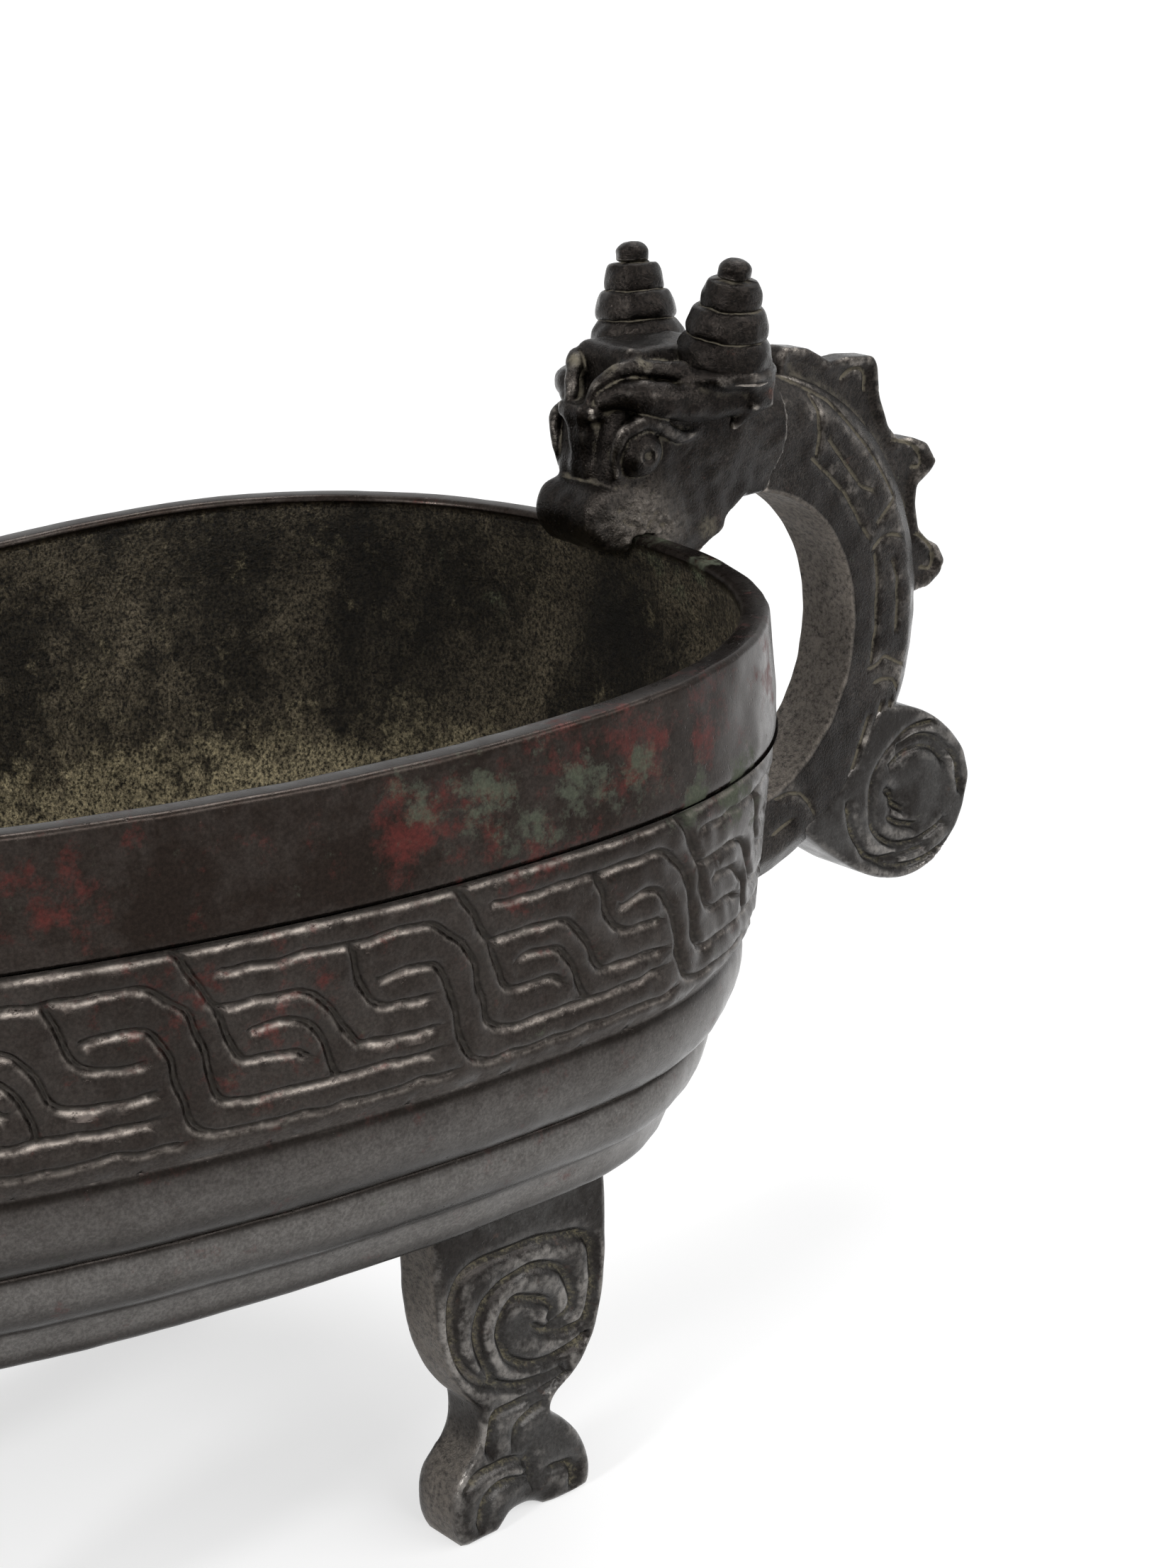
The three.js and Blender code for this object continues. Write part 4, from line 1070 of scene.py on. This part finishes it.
def sculpt_snout(clay):
    """The nose's ridge and ledge, the rolled snout with its flat ends, and the cheeks behind it."""
    clay.add(clay.block((73.4, 0, 177), (3.4, 2.6, 7), -8, 1.2), 1.5)
    clay.add(clay.block((72.4, 0, 182.6), (2.9, 4.8, 1.5), 0, 0.8), 1.6)
    soft = 2.4
    roll = clay.ball((SNOUT[0], 0, SNOUT[2]), (8.5, 60, 6.7), 19) + soft
    end = clay.side - 5.8
    edge = np.sqrt(np.maximum(roll, 0) ** 2 + np.maximum(end, 0) ** 2)
    clay.add(edge + np.minimum(np.maximum(roll, end), 0) - soft, 1.0)
    clay.add(clay.ball((82.5, 5.6, 161), (10.5, 4.6, 7.4), 8), 1.6)
    clay.cut(clay.ball((80.5, 11.4, 159.6), (6.5, 2.6, 3.2), 12), 1.4)


def sculpt_brow_and_eye(clay):
    brow = [(x, y + 0.6, z - 0.5) for x, y, z in BROW]
    clay.add(clay.curl(brow, [1.9, 2.8, 3.3, 3.4, 3.2, 3, 2.6]), 0.6)
    upper = [(x, y + 0.4, z) for x, y, z in UPPER_BROW]
    clay.add(clay.curl(upper, [1.1, 1.4, 1.6, 1.7, 1.7, 1.6, 1.5, 1.4]), 0.3)
    clay.add(clay.block((101.3, 16.8, 184.2), (3.0, 2.6, 2.8), 0, 0.9), 1.0)
    clay.add(clay.roll([(101.5, 16.6, 183), (98, 14.4, 178)], [2.8, 1.0]), 1.2)
    clay.add(clay.ball((97.8, 11.2, 188.2), (11, 10.2, 3.6)), 2.5)
    clay.cut(clay.ball((EYE[0] + 0.3, 12.4, EYE[2]), (7.2, 3.6, 7)), 0.6)
    clay.add(clay.ball((EYE[0], 8.4, EYE[2]), (4.9, 4.3, 4.9)), 0.15)
    clay.cut(clay.roll(NOSE_CREASE, [0.5, 0.8, 0.5]), 0.5)
    clay.add(clay.curl(LID, [0.8, 1.1, 1.4, 1.6, 1.5, 1.3, 1.0, 0.5]), 0.4)
    clay.cut(clay.roll(EYE_CREASE, [0.4, 0.6, 0.6, 0.3]), 0.6)
    clay.cut(clay.ball((EYE[0] - 1, 12.9, EYE[2] - 0.3), (1.6, 1.2, 1.6)), 0.4)


def sculpt_jaw(clay):
    """The jaw, the slot in which it holds the rim, and the flat seam where the loop starts."""
    underside = (clay.x - 95) * 0.62 - (clay.z - 152) * 0.78
    clay.add(np.maximum(clay.block((95, 0, 160), (14, 8.6, 9), 0, 2), underside), 2)
    across = (np.abs(clay.x / REAR_LENGTH) ** ROUNDNESS + (clay.side / MOUTH_HALF_WIDTH) ** ROUNDNESS)
    depth = (1 - across ** (1 / ROUNDNESS)) * MOUTH_HALF_WIDTH
    beside_rim = np.abs(depth - RIM_WIDTH / 2) - RIM_WIDTH / 2
    slot = np.maximum(beside_rim - SLOT_GAP, clay.z - RIM_HEIGHT - SLOT_GAP)
    clay.field = np.maximum(clay.field, -slot)
    turn = math.radians(LOOP_START)
    seam = (clay.x - 117.2) * math.sin(turn) - (clay.z - 172.8) * math.cos(turn)
    clay.field = np.maximum(clay.field, seam)


def make_head(material):
    clay = Clay((60, -24, 148), (124, 24, 199), 0.5)
    sculpt_skull(clay)
    sculpt_snout(clay)
    sculpt_brow_and_eye(clay)
    sculpt_jaw(clay)
    points, faces = clay.skin()
    mirrored = points * [1, -1, 1]
    near = np.where(points[:, 1:2] > 0, mirrored, points)
    rough = spots(near, HEAD_ROUGH)
    points += 0.08 * np.stack([waves(points, 5, seed) for seed in (61, 62, 63)], 1)
    pitted = 0.2 * waves(points, 3, 64, 40) + 0.14 * waves(points, 1.6, 65, 40)
    pitted *= np.clip(rough, 0, 1) * smooth(np.abs(points[:, 1]) / 3)
    points[:, 1] += np.sign(points[:, 1]) * pitted
    marks = {"hollow": spots(near, HEAD_DUST), "granular": 0.55 * rough, "red": spots(near, HEAD_RED)}
    piece("head_cast", points, faces, material, ["dragon_head"], marks)


# Horns: a stepped coil with a knob

HORN_FOOT = (97.8, 11.2, 187.8)
HORN_HEIGHT = 22.3
HORN_RADII = [10.2, 9.7, 8.2, 6.0, 3.2]
HORN_LEVELS = [0, 1.6, 7.5, 13, 18.2, 22.3]
HORN_SPLAY = 8
HORN_SWEEP = 1.6


def make_horns(material):
    turns, rows = 96, 120
    angle = np.arange(turns) / turns * 2 * math.pi
    v, a = np.meshgrid(np.linspace(0, HORN_HEIGHT, rows), angle, indexing="ij")
    rise = np.clip(v + 0.9 * (0.5 - a / (2 * math.pi)) * np.sin(np.pi * v / HORN_HEIGHT), 0, HORN_HEIGHT)
    coil = np.clip(np.interp(rise, HORN_LEVELS, range(6)), 0, 4.9999)
    k = coil.astype(int)
    bulge = np.sqrt(np.maximum(1 - (2 * (coil - k) - 1) ** 2, 0))
    shrink = mix(0.82, 1.0, bulge ** 0.7)
    radius = np.take(HORN_RADII, k) * shrink * mix(1.04, 0.86, coil - k)
    widest = HORN_RADII[4]
    knob = np.minimum(widest * bulge ** 0.9 + np.where(coil < 4.5, 0.25 * widest, 0), widest)
    radius = np.where(k == 4, knob, radius)
    points = np.stack([radius * np.cos(a), radius * np.sin(a), v], -1).reshape(-1, 3)
    faces = []
    for r in range(rows - 1):
        for c in range(turns):
            i, j = r * turns + c, r * turns + (c + 1) % turns
            faces.append((i, j, j + turns, i + turns))
    faces += [tuple(range(turns))[::-1], tuple(range((rows - 1) * turns, rows * turns))]
    points, faces, _ = welded(points, faces)
    points += 0.07 * np.stack([waves(points, 4, seed) for seed in (71, 72, 73)], 1)
    splay = Matrix.Rotation(math.radians(HORN_SPLAY), 3, "X")
    lean = splay @ Matrix.Rotation(math.radians(HORN_SWEEP), 3, "Y")
    placed = points @ np.array(lean).T + [HORN_FOOT[0], -HORN_FOOT[1], HORN_FOOT[2]]
    piece("horn_right_cast", placed, faces, material, ["horn_right"])
    piece("horn_left_cast", placed, faces, material, ["horn_left"], mirror=True)


# Materials

# Near black where the dark mark is set: painted shade on the ribs, darker patches inside the bowl.
NEAR_BLACK = (0.006, 0.005, 0.004, 1)
# Near black deep in hollows between the pale specks: dirt and painted shade.
DIRT_AND_PAINTED_SHADE = (0.012, 0.01, 0.008, 1)
SAND = (0.24, 0.21, 0.18, 1)
DULL_ROUGHNESS = 0.85
INSIDE_SHINE = 0.3  # how much of the metal's mirroring is left inside the bowl


def group(name, inputs, outputs):
    """A new node group with its sockets. Inputs are name: start value, outputs are name: kind."""
    kinds = {float: "NodeSocketFloat", int: "NodeSocketFloat", tuple: "NodeSocketColor"}
    tree = bpy.data.node_groups.new(name, "ShaderNodeTree")
    for key, value in inputs.items():
        kind = "NodeSocketVector" if value is None else kinds[type(value)]
        socket = tree.interface.new_socket(key, in_out="INPUT", socket_type=kind)
        if value is not None:
            socket.default_value = (*value, 1) if isinstance(value, tuple) else value
    for key, kind in outputs.items():
        tree.interface.new_socket(key, in_out="OUTPUT", socket_type=kind)
    return tree, tree.nodes.new("NodeGroupInput"), tree.nodes.new("NodeGroupOutput")


def add(tree, kind, links=(), **values):
    """A node with its settings. Links are (socket name or number, source socket or value)."""
    made = tree.nodes.new(kind)
    for key, value in values.items():
        setattr(made, key, value)
    for key, source in links:
        if isinstance(source, bpy.types.NodeSocket):
            tree.links.new(source, made.inputs[key])
        else:
            made.inputs[key].default_value = source
    return made


def noise(tree, where, scale, detail=4, roughness=0.55, distortion=0.0):
    made = add(tree, "ShaderNodeTexNoise", [("Vector", where), ("Scale", scale), ("Detail", detail),
                                           ("Roughness", roughness), ("Distortion", distortion)])
    return made.outputs["Fac"]


def mark(tree, name):
    """The value that a piece carries at each of its points."""
    return add(tree, "ShaderNodeAttribute", attribute_name=name).outputs["Fac"]


def sums(tree, operation, a, b=None, c=None):
    links = [(i, v) for i, v in enumerate((a, b, c)) if v is not None]
    return add(tree, "ShaderNodeMath", links, operation=operation).outputs[0]


def times(tree, a, b):
    return sums(tree, "MULTIPLY", a, b)


def between(tree, share, a, b):
    """A number on the way from a to b."""
    return add(tree, "ShaderNodeMix", [(0, share), (2, a), (3, b)]).outputs[0]


def window(tree, value, low, high, to_low=0.0, to_high=1.0):
    """value's range from low to high, spread over another range and held inside it."""
    links = [("Value", value), ("From Min", low), ("From Max", high)]
    links += [("To Min", to_low), ("To Max", to_high)]
    return add(tree, "ShaderNodeMapRange", links, interpolation_type="SMOOTHSTEP").outputs[0]


def shifted(tree, where, by):
    """The same place moved, so that one noise gives another pattern."""
    return add(tree, "ShaderNodeVectorMath", [(0, where), (1, by)]).outputs[0]


def blend(tree, share, a, b, way="MIX"):
    made = add(tree, "ShaderNodeMix", [(0, share), (6, a), (7, b)], data_type="RGBA", blend_type=way)
    return made.outputs[2]


def make_patina_group():
    """Mottled ground colour with grey, red and green growths, a lighter sheen that is partly a painted
    highlight, and near black where marked dark, which on the ribs is painted shade.
    """
    tree, given, out = group("patina", {
        "Place": None, "Ground": (0.05, 0.04, 0.033), "Grey": (0.14, 0.13, 0.125), "Grey Amount": 0.5,
        "Red": (0.17, 0.05, 0.03), "Red Amount": 0.3, "Green": (0.16, 0.24, 0.14), "Green Amount": 0.2,
        "Upright": 1.0, "Speckle": 0.25, "Sheen": (0.12, 0.113, 0.107),
    }, {"Color": "NodeSocketColor", "Crust": "NodeSocketFloat"})
    at = given.outputs
    squeeze = add(tree, "ShaderNodeCombineXYZ", [(0, 1.0), (1, 1.0), (2, at["Upright"])]).outputs[0]
    squeezed = [(0, at["Place"]), (1, squeeze)]
    where = add(tree, "ShaderNodeVectorMath", squeezed, operation="MULTIPLY").outputs[0]
    broad = noise(tree, where, 0.045, 5, 0.6, 0.4)
    fine = noise(tree, where, 0.35, 6, 0.65)
    speck = noise(tree, where, 1.6, 4, 0.7)
    grey = window(tree, sums(tree, "MULTIPLY_ADD", fine, 0.45, broad), 0.62, 0.88)
    grey = times(tree, grey, at["Grey Amount"])
    color = blend(tree, grey, at["Ground"], at["Grey"])
    # Polish and painted highlight: the lighter Sheen colour where the piece is marked for it.
    polish_and_painted_sheen = times(tree, mark(tree, "polish_and_painted_sheen"), window(tree, fine, 0.25, 0.62, 0.7, 1.0))
    color = blend(tree, polish_and_painted_sheen, color, at["Sheen"])

    def growth(kind, pattern, start, full):
        """How much of a growth there is: its noise, more of it where the piece is marked for it."""
        level = sums(tree, "MULTIPLY_ADD", at[kind + " Amount"], 0.25, pattern)
        level = sums(tree, "MULTIPLY_ADD", mark(tree, kind.lower()), 0.3, level)
        return window(tree, level, start, 0.86, 0.0, full)

    clouds = noise(tree, shifted(tree, where, (31.0, 7.0, 3.0)), 0.16, 8, 0.72)
    red = growth("Red", clouds, 0.64, 0.8)
    color = blend(tree, red, color, at["Red"])
    flecks = noise(tree, shifted(tree, where, (5.0, 53.0, 17.0)), 0.2, 9, 0.75)
    green = growth("Green", flecks, 0.66, 0.85)
    color = blend(tree, green, color, at["Green"])
    grains = sums(tree, "SUBTRACT", window(tree, speck, 0.34, 0.68, 0.0, 2.0), 1.0)
    shade = sums(tree, "MULTIPLY_ADD", grains, at["Speckle"], 1.0)
    shade = add(tree, "ShaderNodeCombineColor", [(0, shade), (1, shade), (2, shade)]).outputs[0]
    color = blend(tree, 1.0, color, shade, "MULTIPLY")
    # Painted shade: near black where the dark mark is set.
    color = blend(tree, mark(tree, "dark"), color, NEAR_BLACK)
    tree.links.new(color, out.inputs["Color"])
    tree.links.new(sums(tree, "MAXIMUM", green, times(tree, red, 0.5)), out.inputs["Crust"])
    return tree


def make_wear_group():
    """Dust and painted shade in what is hollow, and a rubbed, brighter metal on what is raised, which on
    the band is also a painted highlight.
    """
    tree, given, out = group("dirt, wear, painted shade and highlight", {
        "Place": None, "Color": (0.05, 0.04, 0.03), "Crust": 0.0,
        "Dust And Shade": (0.3, 0.25, 0.17), "Dust And Shade Amount": 0.6, "Broken": 0.5,
        "Bare And Highlight": (0.3, 0.26, 0.22), "Bare And Highlight Amount": 0.5, "Smooth": 0.3, "Rough": 0.5,
    }, {"Color": "NodeSocketColor", "Roughness": "NodeSocketFloat", "Metallic": "NodeSocketFloat"})
    at = given.outputs
    broken = noise(tree, at["Place"], 0.5, 6, 0.7)
    dust_and_shade = times(tree, mark(tree, "hollow"), window(tree, broken, 0.3, 0.6, 0.35, 1.25))
    dust_and_shade = times(tree, window(tree, dust_and_shade, 0.15, 0.9), at["Dust And Shade Amount"])
    rubbed_and_highlight = times(tree, mark(tree, "ridge"), window(tree, broken, 0.3, 0.65, 0.5, 1.2))
    rubbed_and_highlight = times(tree, window(tree, rubbed_and_highlight, 0.15, 0.8), at["Bare And Highlight Amount"])
    granular = mark(tree, "granular")
    sandy = times(tree, granular, window(tree, noise(tree, at["Place"], 0.8, 9, 0.8), 0.3, 0.62))
    # Rubbed metal, and on the band a painted highlight, where the piece is marked raised.
    color = blend(tree, rubbed_and_highlight, at["Color"], at["Bare And Highlight"])
    color = blend(tree, sandy, color, SAND)
    specks = window(tree, noise(tree, at["Place"], 1.4, 5, 0.7), 0.4, 0.62)
    pale = sums(tree, "MAXIMUM", sums(tree, "SUBTRACT", 1.0, at["Broken"]), specks)
    # Dust and painted shade in hollows: pale specks of the given colour, near black between them.
    color = blend(tree, dust_and_shade, color, blend(tree, pale, DIRT_AND_PAINTED_SHADE, at["Dust And Shade"]))
    rough = between(tree, rubbed_and_highlight, at["Rough"], at["Smooth"])
    dull = sums(tree, "MAXIMUM", sums(tree, "MAXIMUM", dust_and_shade, at["Crust"]), times(tree, granular, 0.7))
    rough = between(tree, dull, rough, DULL_ROUGHNESS)
    smears = window(tree, noise(tree, at["Place"], 0.2, 5), 0.3, 0.7, -0.06, 0.07)
    rough = sums(tree, "ADD", rough, smears)
    tree.links.new(color, out.inputs["Color"])
    tree.links.new(rough, out.inputs["Roughness"])
    tree.links.new(sums(tree, "SUBTRACT", 1.0, dull), out.inputs["Metallic"])
    return tree


def make_grain_group():
    """Height, in mm, of a cast surface: fine grain, pits and soft dents."""
    tree, given, out = group(
        "cast grain",
        {"Place": None, "Grain": 0.03, "Pits": 0.05, "Dents": 0.1, "Lumps": 0.0},
        {"Height": "NodeSocketFloat"})
    at = given.outputs
    coarse = sums(tree, "MULTIPLY_ADD", mark(tree, "granular"), 0.35, at["Grain"])
    grain = times(tree, noise(tree, at["Place"], 2.2, 5, 0.6), coarse)
    dents = times(tree, noise(tree, at["Place"], 0.16, 3, 0.5), at["Dents"])
    pits = times(tree, window(tree, noise(tree, at["Place"], 0.9, 3, 0.6), 0.62, 0.75), at["Pits"])
    lumps = times(tree, noise(tree, at["Place"], 0.55, 6, 0.62), at["Lumps"])
    height = sums(tree, "SUBTRACT", sums(tree, "ADD", sums(tree, "ADD", grain, dents), lumps), pits)
    tree.links.new(height, out.inputs["Height"])
    return tree


patina_group, wear_group, grain_group = make_patina_group(), make_wear_group(), make_grain_group()


def bronze(name, patina, wear, grain, metallic=0.85, spread=None):
    """A weathered metal from its patina, wear and grain, which name values of the three groups.

    spread, if given, is a second finish where the mark "inside" is set."""
    material = bpy.data.materials.new(name)
    material.use_nodes = True
    tree = material.node_tree
    tree.nodes.clear()
    out = tree.nodes.new("ShaderNodeOutputMaterial")
    in_metres = [(0, add(tree, "ShaderNodeTexCoord").outputs["Object"]), ("Scale", 1000.0)]
    place = add(tree, "ShaderNodeVectorMath", in_metres, operation="SCALE").outputs[0]

    def part(shared, values, links=()):
        links = [("Place", place), *links]
        links += [(key, (*v, 1) if isinstance(v, tuple) else v) for key, v in values.items()]
        return add(tree, "ShaderNodeGroup", links, node_tree=shared).outputs

    def finish(patina, wear, grain):
        ground = part(patina_group, patina)
        worn = part(wear_group, wear, [(key, ground[key]) for key in ("Color", "Crust")])
        return worn["Color"], worn["Roughness"], worn["Metallic"], part(grain_group, grain)["Height"]

    color, rough, shine, height = finish(patina, wear, grain)
    if spread:
        inside = mark(tree, "inside")
        inner_color, inner_rough, inner_shine, inner_height = finish(*spread)
        color = blend(tree, inside, color, inner_color)
        rough = between(tree, inside, rough, inner_rough)
        shine = between(tree, inside, shine, times(tree, inner_shine, INSIDE_SHINE))
        height = between(tree, inside, height, inner_height)
    bump = add(tree, "ShaderNodeBump", [("Height", height), ("Strength", 1.0), ("Distance", 0.001)])
    shader = add(tree, "ShaderNodeBsdfPrincipled", [
        ("Base Color", color), ("Roughness", rough), ("Metallic", times(tree, shine, metallic)),
        ("Specular IOR Level", 0.3), ("Normal", bump.outputs[0])])
    tree.links.new(shader.outputs[0], out.inputs[0])
    return material


def make_materials():
    body = bronze(
        "patinated bowl bronze",
        {"Ground": (0.0165, 0.0115, 0.009), "Grey": (0.05, 0.042, 0.037), "Grey Amount": 0.45,
         "Red": (0.085, 0.013, 0.01), "Red Amount": 0.25,
         "Green": (0.065, 0.075, 0.05), "Green Amount": 0.25},
        # On the bowl the dust and shade colour is near black, painted shade in the band's grooves, and
        # the bare and highlight colour paints the lit line under each groove.
        {"Dust And Shade": (0.03, 0.024, 0.017), "Dust And Shade Amount": 0.85, "Bare And Highlight": (0.29, 0.255, 0.225),
         "Bare And Highlight Amount": 0.9, "Smooth": 0.26, "Rough": 0.25, "Broken": 0.8},
        {"Grain": 0.03, "Pits": 0.04, "Dents": 0.08},
        spread=(
            {"Ground": (0.022, 0.018, 0.012), "Grey": (0.135, 0.112, 0.076), "Grey Amount": 0.85,
             "Red": (0.37, 0.315, 0.195), "Red Amount": 0.3,
             "Green": (0.12, 0.13, 0.08), "Green Amount": 0.2, "Upright": 0.8, "Speckle": 0.95},
            {"Dust And Shade": (0.24, 0.2, 0.12), "Dust And Shade Amount": 0.6, "Bare And Highlight": (0.13, 0.12, 0.09),
             "Bare And Highlight Amount": 0.6, "Smooth": 0.42, "Rough": 0.6},
            {"Grain": 0.7, "Pits": 0.7, "Dents": 0.3, "Lumps": 1.7}))
    handle = bronze(
        "near black handle bronze",
        {"Ground": (0.0095, 0.0075, 0.0063), "Grey": (0.047, 0.04, 0.035), "Grey Amount": 0.35,
         "Red": (0.1, 0.035, 0.02), "Red Amount": 0.1,
         "Green": (0.08, 0.1, 0.065), "Green Amount": 0.1, "Speckle": 0.6},
        {"Dust And Shade": (0.2, 0.175, 0.125), "Dust And Shade Amount": 0.8, "Bare And Highlight": (0.4, 0.36, 0.32),
         "Bare And Highlight Amount": 0.85, "Smooth": 0.16, "Rough": 0.24, "Broken": 0.25},
        {"Grain": 0.12, "Pits": 0.12, "Dents": 0.1, "Lumps": 0.1})
    leg = bronze(
        "grey brown leg bronze",
        {"Ground": (0.019, 0.0165, 0.015), "Grey": (0.05, 0.048, 0.046), "Grey Amount": 0.8,
         "Red": (0.1, 0.05, 0.035), "Red Amount": 0.15,
         "Green": (0.15, 0.16, 0.09), "Green Amount": 0.05},
        # Broken 0.9 leaves the leg's grooves mostly near black, painted shade, with few pale specks.
        {"Dust And Shade": (0.2, 0.175, 0.11), "Dust And Shade Amount": 0.9, "Bare And Highlight": (0.3, 0.28, 0.26),
         "Bare And Highlight Amount": 0.75, "Smooth": 0.2, "Rough": 0.28, "Broken": 0.9},
        {"Grain": 0.05, "Pits": 0.06, "Dents": 0.1})
    clay = bronze(
        "fired core clay",
        {"Ground": (0.3, 0.25, 0.2), "Grey": (0.25, 0.22, 0.2), "Red": (0.3, 0.2, 0.14),
         "Green": (0.3, 0.25, 0.2)},
        {"Dust And Shade": (0.4, 0.35, 0.28), "Bare And Highlight": (0.33, 0.28, 0.23), "Smooth": 0.8, "Rough": 0.9},
        {"Grain": 0.1, "Pits": 0.1, "Dents": 0.1}, metallic=0.0)
    return body, handle, leg, clay


# Stage, light and camera

CAMERA_AT = (-301.72, -395.414, 301.775)
CAMERA_YAW = 0.811862
CAMERA_PITCH = 0.343009
PHOTO_FOCUS = 4120  # pixels
PHOTO_HEIGHT = 2212
SENSOR = 36
FLOOR_HALF = 8.0  # metres
FLOOR_COLOR = (0.45, 0.45, 0.45, 1)
FLOOR_GLOW = 0.61  # as the camera, metal and glass see it
WORLD_FILL = 0.35
WHITE = (1, 1, 1, 1)
LAMPS = [  # name, direction, height above the floor in degrees, strength, softness
    ("key lamp", 25, 64, 1.4, 26), ("right lamp 262", 262, 36, 0.6, 24),
    ("right lamp 290", 290, 36, 0.6, 24), ("right lamp 318", 318, 36, 0.6, 24),
    ("left lamp", 187, 25, 1.3, 9),
]


def towards(yaw, pitch):
    """A direction from its angle round Z, from +X towards +Y, and its angle above level."""
    return Vector((math.cos(yaw) * math.cos(pitch), math.sin(yaw) * math.cos(pitch), math.sin(pitch)))


def make_camera():
    lens = bpy.data.cameras.new("camera")
    lens.sensor_fit = "AUTO"
    lens.sensor_width = SENSOR
    lens.lens = PHOTO_FOCUS * SENSOR / PHOTO_HEIGHT
    camera = bpy.data.objects.new("camera", lens)
    bpy.context.collection.objects.link(camera)
    x, y, z = CAMERA_AT
    camera.location = ((x + shift) / 1000, y / 1000, z / 1000)
    camera.rotation_euler = towards(CAMERA_YAW, -CAMERA_PITCH).to_track_quat("-Z", "Y").to_euler()
    bpy.context.scene.camera = camera


def sun(name, azimuth, elevation, strength, softness):
    """A soft lamp far away, in the given direction."""
    lamp = bpy.data.lights.new(name, "SUN")
    lamp.energy = strength
    lamp.angle = math.radians(softness)
    thing = bpy.data.objects.new(name, lamp)
    bpy.context.collection.objects.link(thing)
    away = towards(math.radians(azimuth), math.radians(elevation))
    thing.rotation_euler = away.to_track_quat("Z", "Y").to_euler()


def make_floor():
    mesh = bpy.data.meshes.new("floor")
    steps = np.linspace(-FLOOR_HALF, FLOOR_HALF, 9)
    points = [(x, y, 0) for x in steps for y in steps]
    corners = [9 * row + column for row in range(8) for column in range(8)]
    mesh.from_pydata(points, [], [(c, c + 9, c + 10, c + 1) for c in corners])
    floor = bpy.data.objects.new("floor", mesh)
    bpy.context.collection.objects.link(floor)
    material = bpy.data.materials.new("pale floor")
    material.use_nodes = True
    tree = material.node_tree
    tree.nodes.clear()
    out = tree.nodes.new("ShaderNodeOutputMaterial")
    matt = add(tree, "ShaderNodeBsdfDiffuse", [("Color", FLOOR_COLOR)])
    path = add(tree, "ShaderNodeLightPath").outputs
    seen = sums(tree, "MAXIMUM", path["Is Camera Ray"], path["Is Transmission Ray"])
    seen = sums(tree, "MAXIMUM", seen, path["Is Glossy Ray"])
    strength = times(tree, seen, FLOOR_GLOW)
    glow = add(tree, "ShaderNodeEmission", [("Color", WHITE), ("Strength", strength)])
    both = add(tree, "ShaderNodeAddShader", [(0, matt.outputs[0]), (1, glow.outputs[0])])
    tree.links.new(both.outputs[0], out.inputs[0])
    mesh.materials.append(material)


def make_world():
    """White behind the object, soft bright and dim parts in what the metal mirrors, and little fill."""
    world = bpy.data.worlds.new("studio")
    bpy.context.scene.world = world
    world.use_nodes = True
    tree = world.node_tree
    tree.nodes.clear()
    out = tree.nodes.new("ShaderNodeOutputWorld")
    path = add(tree, "ShaderNodeLightPath").outputs
    way = add(tree, "ShaderNodeTexCoord").outputs["Generated"]
    height = add(tree, "ShaderNodeSeparateXYZ", [(0, way)]).outputs
    up = window(tree, height["Z"], -0.1, 0.9, 0.9, 1.0)
    leftward = sums(tree, "ADD", times(tree, height["X"], -0.5), times(tree, height["Y"], -0.6))
    mirrored = times(tree, up, window(tree, leftward, -0.8, 0.8, 0.75, 1.0))
    clear = sums(tree, "MAXIMUM", path["Is Camera Ray"], path["Is Transmission Ray"])
    strength = between(tree, path["Is Glossy Ray"], WORLD_FILL, mirrored)
    strength = between(tree, clear, strength, 1.0)
    glow = add(tree, "ShaderNodeBackground", [("Color", WHITE), ("Strength", strength)])
    tree.links.new(glow.outputs[0], out.inputs[0])


def main():
    bpy.context.scene.view_settings.view_transform = "Standard"
    make_camera()
    make_floor()
    make_world()
    for lamp in LAMPS:
        sun(*lamp)
    body, handle, leg, clay = make_materials()
    make_bowl(body)
    make_legs(leg)
    make_loop(handle)
    make_crest(handle)
    make_tail(leg)
    make_head(handle)
    make_horns(handle)
    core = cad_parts["handle_core"]
    for place in core.material_slots:
        place.material = clay


main()
